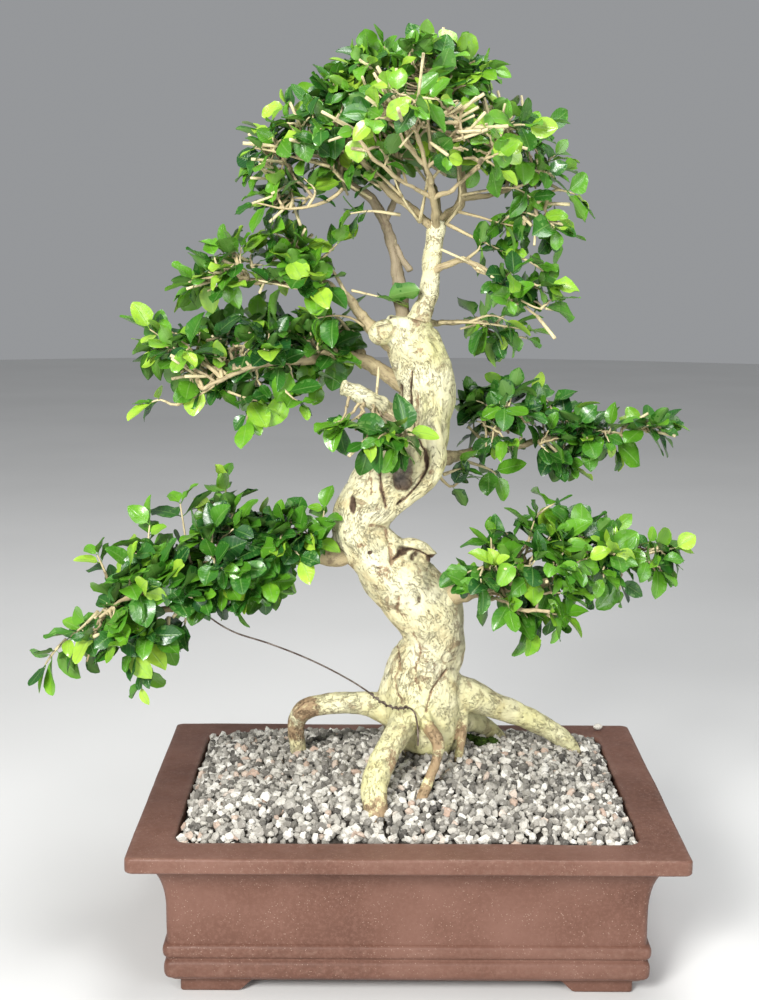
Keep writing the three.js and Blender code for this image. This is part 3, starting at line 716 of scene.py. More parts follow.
@dataclass
class StonewarePot:
    """Rectangular pot: square rim, coved wall, two beads, cloud feet and two drain holes (mm)."""

    length: float = 305
    depth: float = 229
    height: float = 89
    rim_width: float = 24
    rim_height: float = 9
    overhang: float = 6.5
    setback: float = 19.5
    cove: float = 30
    base_setback: float = 21
    outer_corner: float = 4
    inner_corner: float = 10
    floor_under: float = 9.5
    floor_top: float = 18.5
    mouth_taper: float = 5
    foot_setback: float = 26
    foot_flat: float = 32
    foot_curve: float = 10
    foot_strip: float = 20
    strip_under: float = 7
    foot_thick: float = 15
    drain_radius: float = 13
    drain_offset: float = 72
    drain_sides: int = 96
    edge_radius: float = 1.7
    beads: tuple[tuple[float, float, float], ...] = ((6.5, 5.2, 1.9), (17.5, 4.2, 2.3))

    def outline(self, back: Array, corner: Array, columns: int = 130) -> tuple[Array, Array]:
        """Rounded rectangles set back from the rim's outer face.

        Each of the four corners is an arc (centre + corner (cos a, sin a)) and the straight sides run
        evenly between the arcs; every ring has the same number of points.

        Args:
            back: How far in each ring lies, (n,), mm.
            corner: Corner radius of each ring, (n,), mm.
            columns: Points along one side and its corner.

        Returns:
            Points (n, 4 columns, 2) in mm about the middle, and the outward direction at each.
        """
        arc = 10
        side = columns - arc
        turn = np.concatenate([np.linspace(0, 1, arc, endpoint=False), np.ones(side)])
        slide = np.concatenate([np.zeros(arc), np.linspace(0, 1, side, endpoint=False)])
        angle = (np.arange(4)[:, None] + turn).ravel() * np.pi / 2
        heading = np.stack([np.cos(angle), np.sin(angle)], axis=-1)
        signs = np.array([[1, 1], [-1, 1], [-1, -1], [1, -1]], dtype=float)
        half = np.stack([self.length / 2 - back - corner, self.depth / 2 - back - corner], axis=-1)
        here = np.repeat(signs, columns, axis=0)
        there = np.repeat(np.roll(signs, -1, axis=0), columns, axis=0)
        mixed = here + (there - here) * np.tile(slide, 4)[:, None]
        ring = half[:, None] * mixed[None] + corner[:, None, None] * heading[None]
        return ring, heading

    def wall_profile(self) -> tuple[Array, Array, Array, Array]:
        """Setback, height, corner radius and edge wear up the outside, over the rim and down inside.

        The cove is a quarter of an ellipse, each bead (middle, half height, how proud) half an
        ellipse, and each rim edge a quarter of a circle.

        Returns:
            Four arrays, from the foot of the body outside to the floor's edge inside.
        """
        rows: list[tuple[float, float, float, float]] = []
        under, top = self.floor_under, self.height
        outer, inner = self.outer_corner, self.inner_corner
        for z in (under, under + 0.35):
            rows.append((self.base_setback, z, outer, 0.4))
        for middle, radius, proud in self.beads:
            for t in np.linspace(-1, 1, 13):
                swell = proud * math.sqrt(max(0.0, 1 - abs(t) ** 2.4))
                wear = max(0.0, 1 - abs(t) * 1.3)
                rows.append((self.setback - swell, under + middle + t * radius, outer, wear))
        rim_under = top - self.rim_height
        for z in np.linspace(under + 22.6, rim_under - self.cove - 1, 9):
            rows.append((self.setback, z, outer, 0.0))
        for t in np.linspace(0, np.pi / 2, 14):
            back = self.setback - (self.setback - self.overhang) * (1 - math.cos(t))
            rows.append((back, rim_under - self.cove * (1 - math.sin(t)), outer, 0.0))
        edge = self.edge_radius
        rows += [(self.overhang - 0.6, rim_under, outer, 0.2), (edge + 0.8, rim_under, outer, 0.4)]
        for t in np.linspace(0, np.pi / 2, 6):
            rows.append((edge * (1 - math.sin(t)), rim_under + edge * (1 - math.cos(t)), outer, 1.0))
        rows += [(0.0, rim_under + 4.5, outer, 0.15)]
        for t in np.linspace(0, np.pi / 2, 6):
            rows.append((edge * (1 - math.cos(t)), top - edge * (1 - math.sin(t)), outer, 1.0))
        for share in (0.15, 0.35, 0.65, 0.85):
            blend = outer + (inner - outer) * share
            rows.append((edge + (self.rim_width - 2 * edge) * share, top, blend, 0.0))
        for t in np.linspace(0, np.pi / 2, 6):
            back = self.rim_width - edge + edge * math.sin(t)
            rows.append((back, top - edge * (1 - math.cos(t)), inner, 0.8))
        for share in np.linspace(0.1, 1, 8):
            z = top - edge + (self.floor_top - top + edge) * share
            rows.append((self.rim_width + self.mouth_taper * share, z, inner, 0.0))
        return tuple(np.array(rows).T)

    def shell(self, skin: Skin) -> tuple[Array, Array]:
        """Adds the wall and rim, with the slight unevenness of a pressed pot, and returns its end rings."""
        back, height, corner, edge = self.wall_profile()
        ring, heading = self.outline(back, corner)
        rows, columns = ring.shape[:2]
        points = np.concatenate([ring, np.broadcast_to(height[:, None, None], (rows, columns, 1))], axis=-1)
        flat = points.reshape(-1, 3)
        out = np.tile(np.concatenate([heading, np.zeros((columns, 1))], axis=1), (rows, 1))
        swell = 0.28 * lattice_noise(flat, 46, 5) + 0.10 * lattice_noise(flat, 15, 9)
        calm = np.where((np.arange(rows) == 0) | (np.arange(rows) == rows - 1), 0.0, 1.0)
        flat = flat + out * (swell * np.repeat(calm, columns))[:, None]
        level = np.repeat((height > self.height - 2.5) & (back > 0.5), columns)
        flat[:, 2] += np.where(level, 0.16 * lattice_noise(flat, 30, 21) - 0.12, 0)
        wear = np.repeat(edge, columns)
        skin.add(self.at_height(flat), grid_quads(rows, columns), edge=wear)
        return flat.reshape(rows, columns, 3)[0], flat.reshape(rows, columns, 3)[-1]

    def at_height(self, points: Array) -> Array:
        """Millimetres above the table about the pot's middle, in metres in the frame."""
        return placed(points - np.array([0, 0, self.height]))

    def plate(self, skin: Skin, ring: Array, upwards: bool) -> None:
        """Adds the floor's upper or under side: ruled from each drain hole's rim out to the ring.

        P(s, t) = (1 - t) hole(s) + t edge(s), where the edge of each half is the ring's half closed by
        the pot's middle line.

        Args:
            skin: Gathers the surfaces.
            ring: The closed ring that bounds the floor, (n, 3), mm.
            upwards: Whether the face looks up.
        """
        height = ring[0, 2]
        half_x, half_y = np.abs(ring[:, 0]).max(), np.abs(ring[:, 1]).max()
        cosine, sine = circle(self.drain_sides)
        share = np.linspace(0, 1, 5)[:, None]
        quads = grid_quads(len(share), self.drain_sides)[:, :: -1 if upwards else 1]
        for side in (-1, 1):
            to_x = np.where(cosine * side > 0, half_x - self.drain_offset, self.drain_offset)
            to_x = to_x / np.maximum(np.abs(cosine), 1e-6)
            reach = np.minimum(to_x, half_y / np.maximum(np.abs(sine), 1e-6))
            radius = self.drain_radius + (reach[None] - self.drain_radius) * share
            x = side * self.drain_offset + radius * cosine
            points = np.stack([x, radius * sine, np.full_like(x, height)], axis=-1).reshape(-1, 3)
            skin.add(self.at_height(points), quads, edge=np.zeros(len(points)))

    def drain_walls(self, skin: Skin) -> None:
        """Adds the round walls of the two drain holes, facing their axes."""
        cosine, sine = circle(self.drain_sides)
        height = np.linspace(self.floor_top, self.floor_under, 3)[:, None]
        for side in (-1, 1):
            x = side * self.drain_offset + self.drain_radius * cosine
            points = np.broadcast_arrays(x, self.drain_radius * sine, height)
            points = np.stack(points, axis=-1).reshape(-1, 3)
            quads = grid_quads(len(height), self.drain_sides)
            skin.add(self.at_height(points), quads, edge=np.full(len(points), 0.3))

    def foot_under(self, distance: Array) -> Array:
        """Height of a foot's underside at a distance from its corner: flat, S-curve, shallow strip, away."""
        rise = np.clip((distance - self.foot_flat) / self.foot_curve, 0, 1)
        curve = rise * rise * (3 - 2 * rise) * self.strip_under
        end = self.foot_flat + self.foot_curve + self.foot_strip
        close = np.clip((distance - end + 2.0) / 2.0, 0, 1)
        return curve + close * (self.floor_under - self.strip_under)

    def feet(self, skin: Skin) -> None:
        """Adds four L-shaped cloud feet, each a closed strip whose underside follows foot_under.

        The section across a leg runs down the outer face, round a 1 mm edge, under, and up the inner
        face; it is carried from one leg's end round the corner to the other's.
        """
        reach = self.foot_flat + self.foot_curve + self.foot_strip
        bend = np.linspace(-1.2, 1.2, 5)
        run = np.concatenate([np.linspace(-reach, -1.5, 60), bend, np.linspace(1.5, reach, 60)])
        distance = np.abs(run)[:, None]
        near = distance < self.foot_thick
        under, top = self.foot_under(distance[:, 0]), self.floor_under + 0.6
        section = [(0.0, None), (0.0, 0.9), (0.02, 0.3), (0.07, 0.0), (0.93, 0.0), (1.0, 0.9), (1.0, None)]
        half = np.array([self.length, self.depth]) / 2
        for sx, sy in ((-1, -1), (-1, 1), (1, -1), (1, 1)):
            inwards = -np.array([sx, sy])
            tip = inwards * (self.foot_setback - half)
            legs = np.where(run[:, None] < 0, [1, 0], [0, 1])
            outer = tip + legs * inwards * distance + np.clip(1.5 - distance, 0, 1.5) * 0.3 * inwards
            thick = inwards * self.foot_thick
            inner = np.where(near, tip + thick, outer + (1 - legs) * thick)
            rows = []
            for across, lift in section:
                flat = outer + (inner - outer) * across
                z = np.full(len(run), top) if lift is None else np.minimum(under + lift, top)
                rows.append(np.concatenate([flat, z[:, None]], axis=1))
            points = np.stack(rows, axis=1).reshape(-1, 3)
            quads = np.concatenate([grid_quads(len(run), len(section)), self.end_fans(len(run), len(section))])
            if sx * sy > 0:
                quads = quads[:, ::-1]
            skin.add(self.at_height(points), quads, edge=np.full(len(points), 0.25))

    @staticmethod
    def end_fans(rows: int, columns: int) -> Array:
        """Faces that close the two ends of a strip of seven-point sections."""
        first = np.array([[6, 5, 1, 0], [5, 4, 2, 1]])
        return np.concatenate([first, first[:, ::-1] + (rows - 1) * columns])

    def build(self) -> bpy.types.Object:
        """Builds the pot."""
        skin = Skin()
        foot_ring, floor_ring = self.shell(skin)
        self.plate(skin, foot_ring, upwards=False)
        self.plate(skin, floor_ring, upwards=True)
        self.drain_walls(skin)
        self.feet(skin)
        mesh = skin.mesh("stoneware_pot")
        mesh.set_sharp_from_angle(angle=math.radians(50))
        return dressed(mesh, Stoneware().make(), POT_NODES)


# ---- Gravel, soil and the small things on them ----


def gravel_height(x: Array, y: Array) -> Array:
    """Height of the gravel's top above the rim, mm: a broad heap with a mound round the trunk.

    -2 + 14(1 - |x/128.5|^8)(1 - |y/90.5|^6) + 11 exp(-((x - 13)/60)^2 - ((y - 2)/42)^2)
    """
    heap = (1 - np.clip(np.abs(x / 128.5), 0, 1) ** 8) * (1 - np.clip(np.abs(y / 90.5), 0, 1) ** 6)
    mound = np.exp(-(((x - 13) / 60) ** 2) - ((y - 2) / 42) ** 2)
    return -2 + 14 * heap + 11 * mound


@dataclass
class GravelDressing:
    """Crushed stone spread over the soil (mm)."""

    half_length: float = 127.6
    half_depth: float = 89.8
    spacing: float = 4.4
    row_gap: float = 0.87
    edge_gap: float = 2.2
    bed_drop: float = 3.4
    bed_under: float = 9.0

    def grains(self) -> bpy.types.Object:
        """Loose grains: each a random, squashed and turned icosahedron with its corners pushed about."""
        rng = np.random.default_rng(11)
        template, faces = icosahedron()
        seats = []
        for layer, (lift, share) in enumerate(((-1.7, 1.0), (0.0, 1.0), (1.5, 0.22))):
            columns = int(2 * self.half_length / self.spacing)
            rows = int(2 * self.half_depth / (self.spacing * self.row_gap))
            column, row = np.meshgrid(np.arange(columns + 1), np.arange(rows + 1))
            x = (column + 0.5 * (row % 2) + 0.33 * layer) * self.spacing - self.half_length
            y = row * self.spacing * self.row_gap - self.half_depth
            seat = np.stack([x.ravel(), y.ravel(), np.full(x.size, lift)], axis=1)
            seat[:, :2] += rng.normal(0, 0.22 * self.spacing, (len(seat), 2))
            seats.append(seat[rng.random(len(seat)) < share])
        seat = np.concatenate(seats)
        half = np.array([self.half_length, self.half_depth])
        seat = seat[np.all(np.abs(seat[:, :2]) < half - self.edge_gap, axis=1)]
        many = len(seat)
        size = np.clip(rng.lognormal(0.94, 0.20, many), 1.7, 4.4)
        seat[:, 2] += gravel_height(seat[:, 0], seat[:, 1]) - 1.0 + rng.normal(0, 0.45, many)
        stretch = size[:, None] * rng.uniform([0.85, 0.7, 0.55], [1.35, 1.1, 0.9], (many, 3))
        shape = template[None] * stretch[:, None] * rng.uniform(0.78, 1.18, (many, len(template), 1))
        turned = np.einsum("nij,nkj->nki", random_turns(rng, many), shape)
        points = placed((turned + seat[:, None]).reshape(-1, 3))
        tone = np.repeat(rng.random(many), len(template))
        skin = Skin()
        skin.add(points, np.zeros((0, 4), int), repeated(faces, many, len(template)), tone=tone)
        mesh = skin.mesh("gravel_grains", smooth=False)
        return dressed(mesh, Gravel().make(), ("gravel_top_dressing",))

    def bed(self) -> bpy.types.Object:
        """A dark sheet of painted shade that shows between the grains: the heap's surface, lowered and closed.
        """
        rows, columns = 90, 130
        u, v = np.linspace(-1, 1, columns), np.linspace(-1, 1, rows)
        x, y = np.meshgrid(u * (self.half_length + 0.2), v * (self.half_depth + 0.2))
        upper = np.stack([x, y, gravel_height(x, y) - self.bed_drop], -1).reshape(-1, 3)
        upper[:, 2] += 0.5 * lattice_noise(upper, 3.0, 4)
        lower = np.stack([x * 0.985, y * 0.985, np.full_like(x, -self.bed_under)], -1).reshape(-1, 3)
        count = rows * columns
        quads = grid_quads(rows, columns, closed=False)
        around = np.concatenate(
            [
                np.arange(columns),
                np.arange(1, rows) * columns + columns - 1,
                (rows - 1) * columns + np.arange(columns - 2, -1, -1),
                np.arange(rows - 2, 0, -1) * columns,
            ]
        )
        after = np.roll(around, -1)
        skirt = np.stack([around, around + count, after + count, after], axis=1)
        skin = Skin()
        faces = np.concatenate([quads, quads[:, ::-1] + count, skirt[:, ::-1]])
        skin.add(placed(np.concatenate([upper, lower])), faces)
        # Painted shade: a near-black sheet under the grains stands for the shade between them.
        ground = PlainGround("painted shade between grains", (0.014, 0.012, 0.010), (0.06, 0.052, 0.043))
        return dressed(skin.mesh("gravel_bed"), ground.make())

    def pebble(self) -> bpy.types.Object:
        """The stray pebble on the rim: a rounded ball, squashed and dented by smooth noise."""
        low, high = (np.array(corner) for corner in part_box("loose_pebble"))
        round_, quads, tris = ball(12, 18)
        dent = 0.90 + 0.10 * lattice_noise(round_, 0.8, 3)
        points = (low + high) / 2 + round_ * dent[:, None] * (high - low) / 2
        skin = Skin()
        skin.add(points, quads, tris, tone=np.full(len(points), 0.72))
        return dressed(skin.mesh("stray_pebble"), Gravel().make(), ("loose_pebble",))


def ball(rows: int, columns: int) -> tuple[Array, Array, Array]:
    """A ball of radius 1: its points (sin t cos a, sin t sin a, -cos t), quads and polar triangles."""
    tilt = np.linspace(0, np.pi, rows + 2)[1:-1, None]
    cosine, sine = circle(columns)
    rings = np.broadcast_arrays(np.sin(tilt) * cosine, np.sin(tilt) * sine, -np.cos(tilt))
    points = np.concatenate([np.stack(rings, -1).reshape(-1, 3), [[0, 0, -1], [0, 0, 1]]])
    return points, *capped_tube_faces(rows, columns)


@dataclass
class MossCushions:
    """Cushions of moss on the gravel under the right root: place and half sizes (mm)."""

    seats: tuple[tuple[float, ...], ...] = ((45, 20, 6, 6, 5), (54, 26, 5, 5, 4), (40, 24, 5, 6, 5))

    def build(self) -> bpy.types.Object:
        """Builds the cushions: balls pressed into the gravel, their skin tufted by fine noise."""
        skin = Skin()
        round_, quads, tris = ball(40, 64)
        for index, (x, y, *half) in enumerate(self.seats):
            tufts = 1 + 0.22 * lattice_noise(round_, 0.55, index)
            tufts = tufts + 0.16 * lattice_noise(round_, 0.12, index + 9)
            middle = (x, y, gravel_height(np.array(x), np.array(y)) - 0.5)
            skin.add(placed(middle + round_ * tufts[:, None] * half), quads, tris)
        return dressed(skin.mesh("moss_cushions"), Moss().make())


def dress_carried_over() -> None:
    """Gives the soil, drain netting and clips that the CAD draws their own finishes."""
    soil = PlainGround("potting soil", (0.020, 0.013, 0.008), (0.085, 0.056, 0.036)).make()
    netting, wire = MeshPlastic().make(), IronWire().make()
    finishes = {"potting_soil": soil}
    for side in ("left", "right"):
        finishes |= {f"drain_screen_{side}": netting, f"screen_clip_{side}": wire}
    for name, finish in finishes.items():
        slots = bpy.data.objects[name].data.materials
        slots.clear()
        slots.append(finish)


def icosahedron() -> tuple[Array, Array]:
    """The twelve corners (0, +-1, +-g) and their turns, scaled to 1, and the twenty faces."""
    g = (1 + 5**0.5) / 2
    corners = [(-1, g, 0), (1, g, 0), (-1, -g, 0), (1, -g, 0), (0, -1, g), (0, 1, g)]
    corners += [(0, -1, -g), (0, 1, -g), (g, 0, -1), (g, 0, 1), (-g, 0, -1), (-g, 0, 1)]
    faces = [(0, 11, 5), (0, 5, 1), (0, 1, 7), (0, 7, 10), (0, 10, 11), (1, 5, 9), (5, 11, 4), (11, 10, 2)]
    faces += [(10, 7, 6), (7, 1, 8), (3, 9, 4), (3, 4, 2), (3, 2, 6), (3, 6, 8), (3, 8, 9), (4, 9, 5)]
    faces += [(2, 4, 11), (6, 2, 10), (8, 6, 7), (9, 8, 1)]
    return unit(np.array(corners, dtype=float)), np.array(faces)


def random_turns(rng: Rng, many: int) -> Array:
    """Random rotation matrices: an orthonormal frame from two random directions."""
    first = unit(rng.normal(size=(many, 3)))
    second = rng.normal(size=(many, 3))
    second = unit(second - (second * first).sum(1, keepdims=True) * first)
    return np.stack([first, second, np.cross(first, second)], axis=-1)


# ---- Wood ----

TRUNK = [
    (14, 10, -14, 18), (13, 9, 22, 19), (12, 5, 37, 23), (9, 2, 56, 24.5), (11, 0, 74, 21.5),
    (15, 0, 85, 19), (16, -1, 95, 18.4), (12, -3, 109, 21), (2, -6, 122, 20), (-9, -9, 134, 19.3),
    (-20, -11, 147, 16.4), (-28, -12, 159, 15.6), (-27, -12, 170, 16.4), (-20, -11, 178, 17.9),
    (-13, -8, 187, 19.1), (-5, -5, 195, 19.7), (1, -2, 205, 19.8), (4, 0, 215, 19), (7, 1, 225, 17.6),
    (10, 1, 236, 16.5), (8, 1, 251, 16.8), (4, 0, 263, 16.4), (0, -1, 272, 15), (1, -1, 281, 12.6),
]  # fmt: skip
ROOTS = [
    [(-4, 0, 46, 12), (-26, 2, 50, 7), (-48, 6, 48, 6), (-61, 9, 44, 6), (-66, 12, 34, 5.6), (-66, 15, 20, 5.4),
     (-64, 18, 2, 4.5)],
    [(2, -8, 52, 11), (-3, -24, 44, 8.4), (-12, -42, 33, 7.6), (-18, -57, 22, 7.4), (-18, -67, 11, 6.8),
     (-16, -72, 0, 5.4)],
    [(6, -14, 54, 7), (12, -27, 46, 4.2), (18, -33, 38, 3.7), (17, -40, 30, 3.4), (12, -50, 20, 3.3),
     (7, -59, 9, 3.3), (5, -62, 0, 2.6)],
    [(18, 0, 58, 16), (36, 5, 54, 11), (52, 12, 47, 8), (74, 23, 35, 6.9), (92, 32, 23, 6.2), (103, 39, 12, 6),
     (108, 44, 0, 5.2)],
    [(32, -4, 50, 5), (34, -5, 40, 3), (33, -9, 31, 2.4), (31, -11, 16, 2.2)],
    [(14, 10, 44, 14), (6, 34, 34, 8.5), (-4, 54, 20, 7), (-8, 66, 4, 5.5)],
    [(22, 8, 40, 11), (44, 34, 28, 6.5), (58, 50, 14, 5.4), (64, 58, 2, 4.5)],
]  # fmt: skip
# Strands and lips of wood that stand out of the trunk
STRANDS = [
    [(9, -8, 232, 5), (13.5, -14, 216, 6), (15.9, -16, 201, 6.2), (10.8, -18, 191, 6), (0, -19, 181.5, 5.6),
     (-9.4, -19, 173, 4.5)],
    [(-10, -8, 224, 5), (-17, -12, 213, 5.6), (-19.5, -15, 205, 5.6), (-17, -18, 196, 5), (-13, -20, 187, 4.6),
     (-9.5, -20, 177, 4)],
    [(1.4, -13, 252, 2.6), (5.5, -14.5, 240, 2.6), (7.2, -15.5, 228, 2.8), (6, -15.5, 216, 2.8)],
    [(-8, -14, 147, 4), (0, -14, 150, 5), (8, -13, 148, 5), (15, -12, 142, 4.4)],
    [(-20, -7, 270, 5), (-15, -9, 273, 6.5), (-10, -10, 277, 5)],
    [(26, -10, 122, 5), (20, -13, 116, 7), (14, -14, 108, 5)],
    [(-41, -8, 139, 4), (-44, -8, 146, 4), (-40, -8, 152, 4.5), (-34, -10, 156, 4)],
]  # fmt: skip


@dataclass(frozen=True)
class Mark:
    """A feature on the bark: a bump (positive) or a hollow (negative) with its colouring (mm); its dark share
    is painted shade.
    """

    place: tuple[float, float, float]
    size: tuple[float, float, float]
    lift: float = 0.0
    stain: float = 0.0
    dark: float = 0.0
    grey: float = 0.0


BARK_MARKS = (
    Mark((-3.4, -24, 198), (6, 14, 10), lift=-6.0, grey=1.0),
    Mark((-3.4, -24, 189), (5, 12, 5), lift=-3.0, dark=0.8),
    Mark((-16.3, -13, 273.4), (7, 9, 6), lift=1.6, stain=0.5),
    Mark((-16.5, -17, 273.4), (3, 6, 2.6), lift=-1.2, dark=0.5),
    Mark((0.2, -17, 261.7), (4.5, 7, 5), lift=0.9, stain=0.25),
    Mark((5.9, -16, 263.9), (3, 6, 3), lift=-0.7, dark=0.25, stain=0.8),
    Mark((-12.3, -8, 286.4), (7, 8, 5), lift=-0.6, dark=1.0),
    Mark((-31.7, -26, 176.5), (1.8, 8, 5), lift=-2.2, dark=1.0),
    Mark((-3, -19, 149), (4, 7, 3), lift=-1.4, dark=0.7, stain=0.8),
    Mark((8, -17, 147), (7, 8, 4), lift=-0.8, dark=0.35, stain=0.7),
    Mark((4.6, -24, 145.3), (3.4, 7, 2.4), lift=-2.6, dark=1.0),
    Mark((14.5, -16, 143), (4, 7, 3), lift=-2.2, dark=1.0),
    Mark((-14.3, -24, 137.6), (7, 9, 6), lift=-0.8, stain=0.85, dark=0.30),
    Mark((-27, -28, 153), (3.6, 7, 2.4), lift=0.7, stain=0.9),
    Mark((-22, -28, 149), (1.4, 5, 1.2), lift=-1.0, dark=1.0),
    Mark((6.6, -24, 120.6), (1.8, 6, 4), lift=-1.6, dark=0.6, stain=0.7),
    Mark((-6, -26, 120), (1.4, 6, 3), lift=-1.0, dark=0.5, stain=0.6),
    Mark((24, -18, 111), (6, 9, 7), lift=0.5, stain=0.6, dark=0.3),
    Mark((0.4, -26, 97.8), (11, 12, 13), stain=0.74),
    Mark((-6, -26, 84), (14, 12, 14), stain=0.68),
    Mark((17.5, -29, 72), (5, 10, 12), lift=-0.5, stain=0.8),
    Mark((-43.4, -14, 145.8), (6, 8, 6), lift=-1.5, dark=1.0),
    Mark((4, -22, 232), (2.4, 8, 20), lift=-0.9, stain=0.95, dark=0.25),
    Mark((-14, -22, 182), (5, 9, 9), lift=-1.4, dark=0.55, stain=0.5),
    Mark((13, -20, 195), (3, 8, 3), lift=-0.6, stain=0.9),
    Mark((19, -14, 206), (4, 8, 4), lift=0.3, stain=0.6),
    Mark((6, -12, 281), (9, 9, 6), lift=-0.3, stain=0.8, dark=0.4),
    Mark((-61, 3, 46), (11, 9, 9), lift=0.4, stain=1.0),
    Mark((-40, 2, 50), (16, 10, 7), lift=0.2, stain=0.55),
    Mark((15, -32, 40), (8, 10, 9), stain=1.15),
    Mark((16, -44, 25), (9, 10, 12), stain=1.1),
    Mark((8, -56, 12), (8, 11, 9), stain=1.2),
    Mark((33, -8, 30), (5, 8, 17), stain=0.9, dark=0.3),
    Mark((-65, 16, 22), (8, 9, 9), stain=0.6),
    Mark((-17, -68, 8), (12, 12, 12), stain=0.95),
    Mark((-9, -50, 32), (5, 11, 11), stain=0.85),
    Mark((-66, 14, 32), (9, 10, 10), stain=1.1),
    Mark((72, 18, 36), (16, 9, 5), stain=0.5),
    Mark((104, 38, 12), (9, 9, 8), lift=0.2, stain=0.45),
)


@dataclass(frozen=True)
class Groove:
    """A furrow on the trunk's front: (x, height) points, half width, depth and darkness (mm); the darkness is
    painted shade in the furrow.
    """

    points: tuple[tuple[float, float], ...]
    width: float
    depth: float
    dark: float


GROOVES = (
    Groove(
        ((1.3, 252), (0.2, 239.7), (1.5, 227.3), (4.1, 217.4), (8.8, 208.7), (10.5, 199.3), (5.9, 189.9),
         (-0.2, 182), (-6.4, 176.6)), 1.0, 2.4, 0.85),
    Groove(((-5.4, 242.7), (-5.9, 231.9), (-7, 221.1), (-8.8, 210.2)), 1.1, 1.6, 0.7),
    Groove(((-12.8, 205.5), (-17.4, 196), (-15.8, 186.6), (-12.6, 175.6)), 1.2, 2.0, 0.75),
    Groove(((-18.5, 203), (-22.5, 194), (-21, 184)), 0.8, 1.0, 0.5),
    Groove(((-21.9, 164.4), (-14.1, 161.3), (-9.3, 151.8), (-9.3, 142.2)), 1.1, 1.0, 0.4),
    Groove(((-7.7, 145.4), (0.1, 149.3), (11.1, 144.9), (15.2, 139.7)), 1.1, 2.2, 0.85),
    Groove(((-4.4, 122.9), (-5.9, 113.2), (-1.2, 110)), 1.0, 0.9, 0.5),
    Groove(((24.5, 77.4), (15.1, 65.9), (12.1, 54.3)), 0.8, 0.9, 0.6),
    Groove(((-8, 92), (-4, 80), (-7, 68), (-3, 58)), 0.7, 0.8, 0.5),
    Groove(((4, 100), (8, 88), (5, 76), (8, 64)), 0.7, 0.8, 0.5),
)  # fmt: skip


